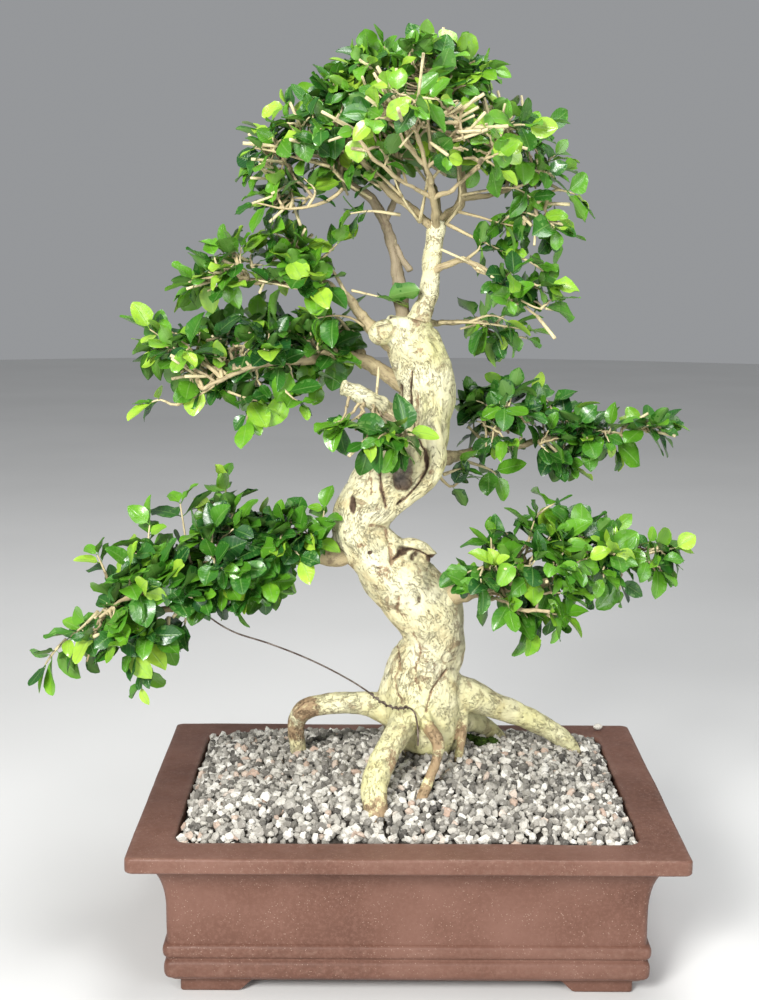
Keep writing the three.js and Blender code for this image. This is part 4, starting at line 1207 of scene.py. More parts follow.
@dataclass
class TrunkAndRoots:
    """The old wood, in one skin, with its knots, hollows and twisting strands (mm)."""

    voxel: float = 0.96
    ring_gap: float = 1.6
    twist_length: float = 22

    def limb(self, skin: Skin, points: list, sides: int, lobes: float) -> Array:
        """Adds one limb as a lobed tube and returns its samples.

        r(s, a) = r(s)(1 + lobes(0.6 sin(3a + 4s) + 0.4 sin(5a - 3s))), s counted in twist lengths

        Args:
            skin: Gathers the surfaces.
            points: Given points with a radius each.
            sides: Points round each ring.
            lobes: Depth of the lobes as a share of the radius.

        Returns:
            Samples along the limb, (n, 4), in metres.
        """
        knots = np.asarray(points, dtype=float)
        length = np.linalg.norm(np.diff(knots[:, :3], axis=0), axis=1).sum()
        samples = flowing(knots, max(6, int(length / self.ring_gap)))
        line = np.concatenate([placed(samples), samples[:, 3:] * MM], axis=1)
        path, radius = line[None, :, :3], line[None, :, 3]
        _, normal, side = path_frames(path)
        angle = np.linspace(0, 2 * np.pi, sides, endpoint=False)
        run = np.linspace(0, length / self.twist_length, len(line))[None, :, None]
        wave = 0.6 * np.sin(3 * angle + 4 * run) + 0.4 * np.sin(5 * angle - 3 * run)
        reach = radius[:, :, None] * (1 + lobes * wave)
        around = np.cos(angle)[:, None] * normal[:, :, None] + np.sin(angle)[:, None] * side[:, :, None]
        rings = (path[:, :, None] + reach[..., None] * around).reshape(-1, 3)
        poles = np.stack([path[0, 0], path[0, -1]])
        quads, tris = capped_tube_faces(len(line), sides)
        skin.add(np.concatenate([rings, poles]), quads, tris)
        return line

    def merged(self, skin: Skin) -> bpy.types.Mesh:
        """The limbs' tubes, remeshed into a single closed skin."""
        rough = bpy.data.objects.new("rough wood", skin.mesh("rough wood"))
        bpy.context.scene.collection.objects.link(rough)
        remesh = rough.modifiers.new("one skin", "REMESH")
        remesh.mode = "VOXEL"
        remesh.voxel_size = self.voxel * MM
        smooth = rough.modifiers.new("soften the joints", "SMOOTH")
        smooth.factor = 0.5
        smooth.iterations = 9
        bpy.context.view_layer.update()
        seen = rough.evaluated_get(bpy.context.evaluated_depsgraph_get())
        mesh = bpy.data.meshes.new_from_object(seen)
        mesh.name = "trunk_and_roots"
        bpy.data.objects.remove(rough)
        return mesh

    @staticmethod
    def nearest(points: Array, lines: list[Array]) -> tuple[Array, Array]:
        """For each point: its coordinates in the nearest limb's own frame, and that limb's index.

        The coordinates are the offsets along N and B and the length run along the limb, so a pattern
        on them follows the wood round its bends without a seam.

        Args:
            points: Places, (n, 3).
            lines: Samples of each limb, (k, 4).

        Returns:
            Coordinates (n, 3) in metres, and limb indices (n,).
        """
        centre, tangent, normal, side, radius, run, owner = ([] for _ in range(7))
        for index, line in enumerate(lines):
            t, n, b = path_frames(line[None, :, :3])
            centre.append(line[:, :3])
            tangent.append(t[0])
            normal.append(n[0])
            side.append(b[0])
            radius.append(line[:, 3])
            run.append(run_along(line[None, :, :3])[0] + index * 0.31)
            owner.append(np.full(len(line), index))
        centre, tangent, normal, side = (np.concatenate(a) for a in (centre, tangent, normal, side))
        radius, run, owner = (np.concatenate(a) for a in (radius, run, owner))
        flow = np.empty((len(points), 3))
        limb = np.empty(len(points), int)
        batch = 4000
        for start in range(0, len(points), batch):
            part = points[start : start + batch]
            gap = np.linalg.norm(part[:, None] - centre[None], axis=2) / radius[None]
            best = gap.argmin(1)
            offset = part - centre[best]
            along = (offset * tangent[best]).sum(1)
            sideways = [(offset * axis[best]).sum(1) for axis in (normal, side)]
            flow[start : start + batch] = np.stack([*sideways, run[best] + along], axis=1)
            limb[start : start + batch] = owner[best]
        return flow, limb

    def build(self) -> bpy.types.Object:
        """Builds the trunk and roots.

        After the limbs are merged each vertex moves along its normal by folds that run with the
        wood, fine wrinkles, and the sum of the marks lift exp(-|offset / size|^2).
        """
        skin = Skin()
        lines = [self.limb(skin, TRUNK, 72, 0.035)]
        lines += [self.limb(skin, root, 32, 0.06) for root in ROOTS]
        lines += [self.limb(skin, strand, 20, 0.05) for strand in STRANDS]
        mesh = self.merged(skin)
        points, normals = read_points(mesh), read_points(mesh, "normal")
        flow, limb = self.nearest(points, lines)
        along = flow * np.array([1, 1, 0.22])
        folds = 0.75 * lattice_noise(along, 10 * MM, 3) + 0.25 * lattice_noise(along, 4.2 * MM, 8)
        wrinkles = 0.20 * layered_noise(flow * np.array([1, 1, 0.5]), 2.2 * MM, 31, 2)
        rings = 0.16 * lattice_noise(flow * np.array([0.4, 0.4, 1.0]), 2.4 * MM, 44)
        lumps = 0.8 * lattice_noise(points, 13 * MM, 61) + 0.35 * lattice_noise(points, 5 * MM, 62)
        lift = (folds + wrinkles + rings + lumps) * np.where(limb == 0, 1.0, 0.62)
        colour = {name: np.zeros(len(points)) for name in ("stain", "dark", "grey")}
        for mark in BARK_MARKS:
            offset = (points - placed(mark.place)) / (np.array(mark.size) * MM)
            near = np.exp(-((offset**2).sum(1) ** 1.6))
            lift += mark.lift * near
            # The dark share of each mark is painted shade, mostly in hollows.
            for name in colour:
                colour[name] = np.maximum(colour[name], getattr(mark, name) * np.sqrt(near))
        above = (points[:, 2] - RIM[2]) / MM
        across = (points[:, 0] - RIM[0]) / MM
        wander = np.stack([across, above], axis=1) + 0.7 * lattice_noise(points, 5 * MM, 91)[:, None]
        for groove in GROOVES:
            line = flowing(groove.points, 160)
            low, high = line.min(axis=0) - 6, line.max(axis=0) + 6
            near_line = np.all((wander > low) & (wander < high), axis=1)
            front = np.flatnonzero((normals[:, 1] < 0.3) & near_line)
            gap = np.linalg.norm(wander[front, None] - line[None], axis=2).min(1)
            near = np.exp(-((gap / groove.width) ** 2))
            lift[front] -= groove.depth * near
            # Painted shade: each furrow is darkened along its line.
            colour["dark"][front] = np.maximum(colour["dark"][front], groove.dark * near)
            colour["stain"][front] = np.maximum(colour["stain"][front], 0.85 * near**0.22)
        points += normals * lift[:, None] * MM
        write_points(mesh, points)
        # Painted light: the upper trunk's right-facing side gets the bloom colour where light falls; the low
        # wood gets the bloom too.
        lit_right_side = np.clip(normals[:, 0] * 0.8 + 0.15, 0, 1) * np.clip((above - 175) / 30, 0, 1)
        low_wood = np.clip((78 - above) / 34, 0, 1) * 0.5
        low_wood *= np.clip(1 - np.clip(-across - 20, 0, 60) / 30, 0.25, 1)
        cloud = 0.65 + 0.5 * lattice_noise(points, 16 * MM, 77)
        put_mark(mesh, "bloom_and_lit_side", np.clip(np.maximum(lit_right_side, low_wood) * cloud, 0, 1))
        put_mark(mesh, "flow", flow)
        # Painted shade: brown stain laid where the surface sinks into hollows and creases.
        painted_hollow_shade = np.clip(-(lift - 0.1) / 2.2, 0, 1) ** 1.5
        colour["stain"] = np.maximum(colour["stain"], painted_hollow_shade * 0.9)
        gravel = gravel_height(across, (points[:, 1] - RIM[1]) / MM)
        ground = np.clip(1 - (above - gravel) / 5.0, 0, 1)
        colour["stain"] = np.maximum(colour["stain"], ground * 0.8)
        for name, values in colour.items():
            put_mark(mesh, name, values)
        mesh.polygons.foreach_set("use_smooth", np.full(len(mesh.polygons), True))
        mesh.update()
        return dressed(mesh, TrunkBark().make(), ("trunk_and_surface_roots",))


# ---- Branches, twigs and leaves ----

LIMBS: dict[str, list] = {
    "leader_right": [
        [(2, -2, 272, 9), (7, -2, 284, 6.4), (11, -2, 296, 5.6), (12.5, -1, 314, 5.3), (14.5, -1, 331, 5.2),
         (15, -1, 336, 4.6)],
    ],
    "leader_left": [
        [(-3, 4, 272, 6), (-4, 5, 284, 4.2), (-7, 8, 306, 3.5), (-9, 9, 318, 3.2), (-14, 11, 335, 3.2),
         (-22, 12, 348, 2.6), (-37, 8, 358, 2), (-46, 0, 366, 1.4)],
        [(0, -2, 308, 1.8), (-4, 2, 314, 1.7), (-8, 6, 322, 1.6)],
        [(-14, 11, 335, 2.0), (-8, 14, 352, 1.6), (-6, 16, 372, 1.1)],
    ],
    "branch_lower_left": [
        [(-24, -12, 150, 8), (-42, -14, 143, 6), (-52, -16, 144, 4.6), (-72, -18, 145, 4),
         (-88, -22, 140, 3.7), (-108, -28, 131, 3.4), (-130, -34, 121, 2.9), (-143, -40, 115, 2.4),
         (-147, -44, 104, 1.6)],
        [(-88, -22, 140, 2.6), (-99, 0, 147, 1.8), (-112, 22, 152, 1.2)],
        [(-130, -34, 121, 2.2), (-154, -50, 128, 1.7), (-172, -58, 118, 1.1)],
    ],
    "branch_lower_right": [
        [(16, -8, 116, 8), (32, -14, 122, 6), (42, -19, 125, 4.6), (53, -24, 128, 3.7), (67, -26, 130, 3.2),
         (87, -26, 133, 2.6), (111, -22, 140, 2), (135, -14, 145, 1.5), (149, -10, 151, 1.2)],
        [(53, -24, 128, 2.6), (69, -4, 138, 1.8), (86, 14, 144, 1.4)],
        [(53, -24, 128, 2.6), (58, -43, 123, 1.7), (78, -55, 121, 1.1)],
    ],
    "branch_middle_right": [
        [(6, 4, 197, 8), (20, 14, 197, 5.6), (31, 30, 197, 3.8), (48, 44, 198, 3.1), (67, 52, 200, 2.5),
         (84, 56, 203, 2.2), (105, 60, 204, 1.9), (130, 62, 205, 1.5), (150, 64, 209, 1.2)],
        [(48, 44, 198, 2.4), (58, 60, 210, 1.9), (76, 74, 215, 1.4)],
    ],
    "branch_stub": [
        [(2, -4, 212, 9), (-8, -16, 224, 7.4), (-15, -21, 231, 6.6), (-21, -26, 236, 5.6),
         (-30, -30, 241, 4.8), (-38, -33, 244, 4)],
    ],
    "branch_middle_left": [
        [(4, 2, 238, 7), (-10, 7, 246, 5.6), (-22, 10, 253, 4.7), (-34, 6, 258, 4.1), (-46, 0, 260, 3.5),
         (-59, -8, 257, 3.1), (-78, -18, 257, 2.3), (-98, -28, 251, 1.6), (-115, -34, 243, 1.2)],
        [(-27, 9, 256, 4), (-32, 18, 266, 3.5), (-42, 34, 272, 2.6), (-66, 46, 274, 2), (-96, 56, 272, 1.4)],
    ],
    "branch_upper_left": [
        [(-2, -1, 262, 8), (-14, -4, 270, 6.6), (-23, -7, 277, 5), (-28, -9, 283, 3.7), (-33, -12, 291, 3.1),
         (-41, -13, 296, 2.5), (-53, -14, 299, 2), (-70, -16, 300, 1.7), (-90, -18, 303, 1.4)],
        [(-41, -13, 296, 2.4), (-52, -6, 304, 2.1), (-62, 2, 312, 1.7), (-70, 8, 326, 1.1)],
    ],
    "branch_small_right": [
        [(13, -3, 308, 3), (20, -8, 311, 2.2), (28, -13, 314, 1.8), (36, -20, 312, 1.5), (47, -27, 306, 1.1)],
    ],
    "branch_small_back": [
        [(6, 4, 276, 6), (14, 12, 277, 2.6), (27, 22, 277, 1.7), (40, 33, 277, 1.3)],
    ],
    "branch_crown_right": [
        [(15, -1, 333, 4.4), (21, 2, 339, 4), (29, 4, 348, 3.7), (29, 8, 367, 3.1), (27, 6, 389, 2.4),
         (23, 2, 406, 1.7)],
        [(29, 4, 348, 2.6), (44, 2, 351, 2.1), (59, 0, 356, 1.6), (74, -6, 366, 1.1)],
    ],
    "branch_crown_left": [
        [(13, -2, 332, 4), (2, -8, 341, 3.1), (-12, -16, 352, 2.8), (-25, -24, 367, 2.2), (-34, -32, 379, 1.6)],
    ],
    "branch_crown_front": [
        [(15, -3, 332, 3.6), (12, -24, 348, 2.7), (8, -42, 364, 2.1), (2, -54, 382, 1.4)],
        [(12, -24, 348, 2.0), (-4, -36, 356, 1.7), (-20, -48, 368, 1.4), (-34, -54, 384, 1.1)],
        [(12, -24, 348, 2.0), (24, -36, 354, 1.7), (36, -46, 366, 1.4), (46, -50, 380, 1.1)],
        [(8, -42, 364, 1.7), (-4, -52, 376, 1.4), (-12, -54, 394, 1.1)],
        [(8, -42, 364, 1.7), (20, -52, 376, 1.4), (26, -54, 394, 1.1)],
    ],
    "branch_crown_back": [
        [(16, 1, 332, 3.6), (16, 24, 348, 2.9), (8, 44, 368, 2.2), (-4, 54, 392, 1.5)],
    ],
}  # fmt: skip


class Side(Enum):
    """Which way a pad of leaves mostly faces."""

    UP = (0.0, -0.15, 1.0)
    LEFT = (-0.5, -0.35, 0.8)
    RIGHT = (0.5, -0.35, 0.8)
    FRONT = (0.0, -0.8, 0.6)
    BACK = (0.0, 0.8, 0.6)


@dataclass(frozen=True)
class Pad:
    """A pad of foliage: lumps of space (x, y, height, half sizes), the limbs it grows on, its sprays.

    fullness is the number of leafy sprays for each 1000 square millimetres of the lumps' skin, and
    routes are listed sprays. twiggy multiplies the inner twigs, which start bare fortieths
    of the way along the first limb, and leaf is a leaf's usual length.
    """

    limbs: tuple[str, ...]
    lumps: tuple[tuple[float, ...], ...]
    side: Side = Side.UP
    fullness: float = 3.9
    tone: float = 0.42
    routes: tuple[tuple[tuple[float, float, float], ...], ...] = ()
    stubs: int = 8
    twiggy: float = 1.0
    bare: int = 14
    leaf: float = 18.2


PADS = {
    "leaves_lower_left": Pad(
        ("branch_lower_left",),
        (
            (-70, -20, 153, 20, 34, 18), (-102, -18, 142, 32, 48, 34), (-140, -32, 126, 34, 44, 30),
            (-163, -42, 104, 27, 32, 26), (-178, -42, 91, 16, 18, 15),
        ),
        Side.LEFT, fullness=2.9, stubs=14, tone=0.36,
        routes=(
            ((-116, -30, 127), (-125, -26, 144), (-129, -24, 167), (-131, -22, 180)),
            ((-87, -14, 160), (-100, -10, 167), (-118, -6, 171)),
            ((-85, -18, 142), (-84, -16, 154), (-85, -10, 171)),
            ((-132, -38, 121), (-147, -34, 145), (-158, -30, 149)),
            ((-157, -42, 126), (-156, -42, 139), (-155, -42, 152)),
            ((-143, -40, 115), (-160, -42, 121), (-175, -44, 118)),
            ((-145, -44, 105), (-149, -44, 95), (-150, -44, 87), (-153, -42, 67)),
            ((-136, -40, 114), (-136, -42, 106), (-137, -42, 97)),
            ((-175, -44, 118), (-183, -46, 110), (-193, -46, 102)),
            ((-193, -46, 102), (-200, -46, 95), (-207, -46, 85)),
            ((-170, -40, 136), (-173, -40, 144), (-176, -40, 151)),
            ((-51, -10, 141), (-50, -14, 159), (-48, -14, 174)),
            ((-106, -8, 166), (-106, -6, 176), (-106, -4, 187)),
            ((-147, -34, 145), (-148, -30, 156), (-147, -28, 167)),
        ),
    ),
    "leaves_lower_right": Pad(
        ("branch_lower_right",),
        (
            (44, -44, 134, 24, 20, 18), (70, -24, 137, 34, 38, 31), (104, -14, 141, 34, 42, 28),
            (139, -16, 142, 22, 24, 15),
        ),
        Side.RIGHT, fullness=2.3, stubs=16,
        routes=(
            ((38, -19, 126), (62, -24, 130), (87, -28, 134), (97, -28, 137)),
            ((67, -24, 143), (68, -24, 149), (82, -20, 151), (96, -16, 154)), ((50, -24, 124), (52, -30, 142)),
            ((60, -26, 118), (65, -34, 117), (78, -40, 117), (91, -44, 117)),
            ((68, -24, 149), (70, -22, 159), (73, -20, 169)), ((50, -24, 133), (48, -26, 148), (47, -26, 162)),
            ((97, -28, 137), (113, -24, 140), (128, -20, 143)),
            ((128, -20, 143), (139, -14, 147), (152, -10, 154)),
            ((128, -20, 143), (143, -16, 148), (159, -12, 150)),
            ((96, -16, 154), (111, -10, 158), (121, -8, 159)),
            ((73, -20, 169), (79, -16, 173), (86, -12, 176)), ((65, -34, 117), (68, -38, 113), (71, -40, 107)),
            ((78, -40, 117), (82, -42, 114), (85, -42, 108)),
        ),
    ),
    "leaves_middle_right": Pad(
        ("branch_middle_right",),
        (
            (58, 50, 214, 28, 34, 28), (92, 60, 204, 36, 34, 22), (132, 62, 205, 24, 18, 11),
            (152, 64, 209, 16, 12, 8),
        ),
        fullness=2.2, tone=0.28,
        routes=(
            ((48, 34, 199), (48, 40, 210), (48, 44, 219), (57, 46, 230), (50, 48, 242)),
            ((48, 44, 219), (69, 50, 218), (91, 56, 218), (109, 60, 221)),
            ((34, 28, 194), (49, 36, 188), (56, 38, 183)),
            ((18, 4, 190), (21, 8, 185), (26, 10, 181), (32, 12, 185), (34, 12, 187)),
            ((21, 6, 189), (28, 10, 191), (33, 12, 192)), ((130, 62, 205), (146, 64, 208), (163, 66, 213)),
            ((91, 56, 218), (87, 58, 226), (80, 58, 232)), ((105, 58, 204), (120, 60, 208), (138, 62, 206)),
            ((84, 50, 204), (95, 52, 194), (104, 54, 185)),
        ),
    ),
    "leaves_middle_left": Pad(
        ("branch_middle_left",),
        (
            (-54, 20, 262, 26, 38, 20), (-84, 10, 256, 36, 54, 30), (-116, 2, 256, 34, 48, 26),
            (-136, 0, 260, 18, 30, 18),
        ),
        fullness=2.8, stubs=14,
        routes=(
            ((-46, 6, 260), (-59, 4, 256), (-69, 0, 255), (-79, -4, 256)),
            ((-79, -4, 256), (-97, -10, 248), (-117, -18, 241)),
            ((-117, -18, 241), (-131, -24, 233), (-140, -26, 236), (-147, -28, 234)),
            ((-105, -20, 241), (-93, -22, 237), (-84, -24, 235)),
            ((-35, 14, 272), (-41, 10, 280), (-50, 6, 284)), ((-46, 6, 260), (-51, 2, 249), (-53, -4, 242)),
            ((-121, 0, 257), (-134, -4, 264), (-142, -6, 270), (-151, -8, 276)),
            ((-131, -24, 233), (-116, -24, 240), (-102, -22, 249)),
            ((-89, -22, 237), (-91, -24, 229), (-92, -26, 223)),
            ((-73, -20, 244), (-67, -24, 238), (-60, -28, 234)),
        ),
    ),
    "leaves_stub": Pad(
        ("branch_stub",),
        ((-38, -44, 222, 16, 12, 8), (-20, -48, 219, 15, 12, 8), (-5, -46, 216, 12, 10, 7)),
        fullness=2.8, stubs=2,
    ),
    "leaves_upper_left": Pad(
        ("branch_upper_left",),
        (
            (-98, -16, 309, 22, 24, 17), (-74, -4, 318, 20, 26, 19), (-114, -18, 299, 18, 18, 10),
            (-58, -12, 302, 20, 22, 10),
        ),
        fullness=2.2, stubs=18, tone=0.5,
        routes=(
            ((-36, -14, 295), (-52, -16, 299), (-62, -18, 298), (-77, -20, 301), (-91, -22, 304)),
            ((-36, -14, 295), (-44, -10, 308), (-52, -8, 313), (-62, -6, 319), (-71, -6, 332)),
            ((-33, -12, 297), (-20, -10, 294), (-8, -6, 291)),
            ((-26, -12, 277), (-34, -14, 282), (-45, -18, 283), (-55, -20, 281)),
            ((-91, -22, 304), (-105, -24, 305), (-117, -26, 303), (-126, -28, 301)),
            ((-62, -6, 319), (-71, -8, 323), (-79, -10, 325)),
            ((-52, -8, 313), (-45, -12, 319), (-40, -14, 324)),
            ((-62, -18, 298), (-64, -20, 308), (-67, -22, 315)),
            ((-91, -22, 304), (-95, -20, 313), (-94, -18, 323)),
            ((-105, -24, 305), (-108, -24, 312), (-109, -24, 316)),
        ),
    ),
    "leaves_small_right": Pad(
        ("branch_small_right",),
        ((56, -30, 300, 15, 13, 12), (70, -32, 290, 14, 12, 18)),
        Side.RIGHT, fullness=1.3, stubs=5,
    ),
    "leaves_small_back": Pad(
        ("branch_small_back",),
        ((44, 36, 274, 20, 16, 9), (62, 46, 268, 16, 12, 7)),
        fullness=2.2, stubs=3,
        routes=(
            ((17, 6, 278), (35, 10, 278), (53, 14, 276), (77, 18, 272)),
            ((35, 10, 278), (47, 12, 282), (58, 12, 279)),
        ),
    ),
    "leaves_crown_top": Pad(
        ("branch_crown_right", "leader_left", "branch_crown_front", "branch_crown_back"),
        ((2, 2, 411, 56, 54, 28), (-14, 0, 397, 56, 48, 24)),
        fullness=3.2, stubs=80, tone=0.48, twiggy=2.6, bare=5, leaf=15.6,
    ),
    "leaves_crown_left": Pad(
        ("branch_crown_left", "leader_left"),
        ((-48, -6, 382, 38, 48, 28), (-74, -2, 370, 22, 34, 18), (-72, -6, 344, 26, 14, 9)),
        Side.LEFT, fullness=2.1, stubs=26, twiggy=2.0, bare=6, leaf=16.4,
        routes=(
            ((-38, -20, 353), (-45, -22, 347), (-57, -24, 343), (-70, -26, 342), (-80, -28, 344),
             (-94, -30, 347)),
            ((-70, -26, 342), (-74, -26, 349), (-75, -26, 355)),
            ((-57, -24, 343), (-53, -24, 352), (-61, -24, 360)),
            ((-45, -24, 365), (-61, -26, 369), (-77, -28, 373), (-90, -28, 375)),
            ((-22, -10, 348), (-37, -16, 357), (-45, -20, 365)),
            ((1, -8, 341), (-15, -16, 353), (-26, -22, 368)),
            ((-26, -22, 368), (-39, -24, 374), (-51, -26, 375)),
            ((-15, -16, 353), (-24, -20, 358), (-33, -24, 364)),
            ((-6, -8, 339), (-22, -14, 341), (-37, -18, 339)),
        ),
    ),
    "leaves_crown_right": Pad(
        ("branch_crown_right",),
        ((50, 0, 380, 36, 46, 28), (70, -6, 360, 20, 34, 20), (70, -10, 334, 18, 24, 18)),
        Side.RIGHT, fullness=1.6, stubs=22, twiggy=1.8, bare=5,
        routes=(
            ((20, -4, 334), (28, -6, 346), (26, -8, 366), (25, -8, 388), (22, -6, 404)),
            ((28, -6, 350), (44, -12, 353), (58, -16, 354), (70, -20, 346)),
            ((27, -6, 341), (39, -12, 338), (49, -16, 335), (65, -22, 332)),
            ((21, -4, 334), (33, -10, 328), (42, -14, 324), (56, -20, 317)),
            ((56, -20, 317), (66, -22, 314), (76, -24, 307)), ((49, -16, 335), (61, -18, 341), (76, -20, 336)),
            ((70, -20, 346), (80, -20, 353), (94, -18, 350)), ((58, -16, 354), (72, -14, 360), (89, -10, 366)),
            ((26, -8, 366), (38, -10, 375), (52, -12, 381)),
            ((18, -4, 311), (27, -8, 315), (32, -12, 315), (45, -18, 306), (60, -22, 301), (65, -24, 297)),
            ((45, -18, 306), (61, -18, 303), (80, -16, 295)), ((32, -12, 315), (38, -14, 320), (39, -14, 323)),
        ),
    ),
    "leaves_crown_front": Pad(
        ("branch_crown_front",),
        ((0, -54, 386, 52, 36, 28), (34, -50, 372, 28, 28, 20)),
        Side.FRONT, fullness=1.4, stubs=40, tone=0.55, twiggy=2.2, bare=2, leaf=15.6,
        routes=(
            ((5, -8, 335), (-5, -20, 349), (-12, -30, 365), (-17, -36, 379)),
            ((-5, -20, 349), (-17, -28, 360), (-33, -34, 372)), ((5, -8, 335), (8, -22, 353), (10, -34, 374)),
            ((8, -22, 353), (15, -30, 363), (23, -36, 368)),
            ((-12, -30, 365), (-22, -38, 384), (-25, -36, 402)),
            ((10, -34, 374), (8, -36, 395), (9, -34, 410)),
        ),
    ),
    "leaves_crown_back": Pad(
        ("branch_crown_back", "leader_left"),
        ((6, 54, 386, 54, 38, 30), (-30, 44, 374, 34, 34, 20)),
        Side.BACK, fullness=2.4, stubs=16, tone=0.3,
    ),
}  # fmt: skip


def blades(
    skin: Skin,
    base: Array,
    ahead: Array,
    facing: Array,
    length: Array,
    tone: Array,
    rng: Rng,
) -> None:
    """Adds leaves, each a thin closed lens that bends, folds along its midrib and waves at its edge.

    At u along a leaf of length L and v across it, from -1 to 1:
    P = base + u L T + v w(u) S + (f |v| w(u) + a L sin(2 pi k u + p) v^2 - c L u^2) F
    with S = T x F, and w(u) an ovate outline on a short stalk. The underside lies one thickness
    below, so each leaf is a ring of eight points carried along its length and closed at both tips.

    Args:
        skin: Gathers the surfaces.
        base: Foot of each stalk in metres, (n, 3).
        ahead: Direction of each leaf, (n, 3).
        facing: Rough direction of each leaf's upper face, (n, 3).
        length: Length of each leaf with its stalk in metres, (n,).
        tone: 0 for a dark old leaf to 1 for a fresh one, (n,).
        rng: Source of the differences between leaves.
    """
    many = len(base)
    if not many:
        return
    ahead = unit(ahead)
    facing = unit(facing - (facing * ahead).sum(1, keepdims=True) * ahead)
    side = np.cross(ahead, facing)
    u = np.array([0.01, 0.13, 0.22, 0.38, 0.56, 0.74, 0.89, 0.965])
    outline = np.array([0.030, 0.032, 0.56, 0.93, 1.0, 0.85, 0.50, 0.20])
    across = np.array([-1, -0.5, 0, 0.5, 1, 0.5, 0, -0.5])
    below = np.array([0, 0, 0, 0, 0, 1, 1, 1.0])
    broad = rng.uniform(0.26, 0.375, many) * length
    fold = rng.uniform(0.02, 0.42, many)
    curl = rng.uniform(-0.10, 0.42, many)
    wave = rng.uniform(0.015, 0.075, many)
    beats = rng.uniform(0.9, 2.0, many)
    start = rng.uniform(0, 2 * np.pi, many)
    twist = rng.normal(0, 0.25, many)
    sweep = rng.normal(0, 0.10, many)

    def each(values: Array) -> Array:
        """One value for each leaf, spread over its grid."""
        return values[:, None, None]

    grid = (many, len(u), len(across))
    uu = np.broadcast_to(u[None, :, None], grid)
    vv = np.broadcast_to(across[None, None, :], grid)
    blade = np.clip((uu - 0.13) / 0.12, 0, 1)
    half = each(broad) * outline[None, :, None]
    lift = each(fold) * np.abs(vv) * half
    lift = lift + each(wave) * each(length) * vv**2 * blade * np.sin(
        2 * np.pi * each(beats) * uu + each(start) + 1.2 * vv
    )
    lift = lift - each(curl) * each(length) * uu**2
    lift = lift + each(twist) * vv * half * uu
    thick = (0.00018 + 0.00032 * (1 - blade)) * below[None, None]
    lift = lift - thick
    sideways = vv * half * (1 - 0.12 * each(fold)) + each(sweep * length) * uu**2
    onward = uu * each(length) * (1 - 0.28 * each(np.abs(curl)) * uu)
    points = each(base) + onward[..., None] * each(ahead)
    points = points + sideways[..., None] * each(side) + lift[..., None] * each(facing)
    tip = (
        base
        + (length * (1 - 0.28 * np.abs(curl)))[:, None] * ahead
        - (curl * length)[:, None] * facing
        + (sweep * length)[:, None] * side
    )
    points = np.concatenate([points.reshape(many, -1, 3), base[:, None], tip[:, None]], axis=1)
    quads, tris = capped_tube_faces(len(u), len(across))
    stride = points.shape[1]
    place = np.stack(np.broadcast_arrays(uu, vv, each(tone)), -1).reshape(many, -1, 3)
    nought = np.zeros(many)
    poles = np.stack([[nought, nought, tone], [nought + 1, nought, tone]]).transpose(2, 0, 1)
    place = np.concatenate([place, poles], axis=1)
    under = np.broadcast_to(below[None, None], grid).reshape(many, -1)
    under = np.concatenate([under, np.zeros((many, 2))], axis=1)
    skin.add(
        points.reshape(-1, 3),
        repeated(quads, many, stride),
        repeated(tris, many, stride),
        blade=place.reshape(-1, 3),
        beneath=under.ravel(),
    )


PAIR_SHARE = (1.0, 0.95, 0.75)
PAIR_SIZE = (0.84, 1.0, 1.05)
PAIR_TONE = (0.20, 0.04, -0.06)


@dataclass
class Sprays:
    """Many leafy shoots at once: a curved twig each, with leaves in opposite pairs (mm)."""

    paths: Array
    rng: Rng
    side: Array
    tone: float
    thick: float = 0.85
    thin: float = 0.42
    gap: float = 5.2
    leaf: float = 18.2

    def wood(self, skin: Skin) -> None:
        """Adds the twigs."""
        many, rows = self.paths.shape[:2]
        taper = np.linspace(self.thick, self.thin, rows)[None] * self.rng.uniform(0.85, 1.2, (many, 1))
        tubes(skin, placed(self.paths), taper * MM, 5, age=self.rng.uniform(0.0, 0.5, many))

    def leaves(self, skin: Skin) -> None:
        """Adds pairs of leaves back from each twig's tip, each pair turned a quarter from the last.

        A leaf of pair k at angle a looks along cos(g) T + sin(g)(cos a N + sin a B), where g opens from
        35 degrees at the tip to 75 further back; its upper face looks to the light and outwards.
        """
        many = len(self.paths)
        axes = path_frames(self.paths)
        whole = run_along(self.paths)[:, -1]
        roll = self.rng.uniform(0, 2 * np.pi, many)
        row = np.arange(many)
        for pair, (share_kept, size, tone) in enumerate(zip(PAIR_SHARE, PAIR_SIZE, PAIR_TONE)):
            back = pair * self.gap * self.rng.uniform(0.8, 1.25, many)
            keep = (back < 0.8 * whole) & (self.rng.random(many) < share_kept)
            share = np.clip((whole - back) / np.maximum(whole, 1e-6), 0, 1) * (self.paths.shape[1] - 1)
            low = np.minimum(share.astype(int), self.paths.shape[1] - 2)
            part = (share - low)[:, None]
            foot = self.paths[row, low] * (1 - part) + self.paths[row, low + 1] * part
            t, n, b = (unit(axis[row, low] * (1 - part) + axis[row, low + 1] * part) for axis in axes)
            for turn in (0, np.pi):
                here = keep & (self.rng.random(many) < 0.93)
                angle = roll + turn + pair * np.pi / 2 + self.rng.normal(0, 0.3, many)
                open_ = np.radians(34 + 17 * pair + self.rng.normal(0, 12, many))
                out = np.cos(angle)[:, None] * n + np.sin(angle)[:, None] * b
                ahead = np.cos(open_)[:, None] * t + np.sin(open_)[:, None] * out
                ahead = unit(ahead + self.rng.normal(0, 0.14, (many, 3)) - np.array([0, 0, 0.10]))
                facing = self.side + 0.45 * t + self.rng.normal(0, 0.34, (many, 3))
                length = self.leaf * size * self.rng.uniform(0.66, 1.28, many) * MM
                age = np.clip(self.tone + tone + self.rng.normal(0, 0.21, many), 0, 0.95)
                blades(skin, placed(foot[here]), ahead[here], facing[here], length[here], age[here], self.rng)


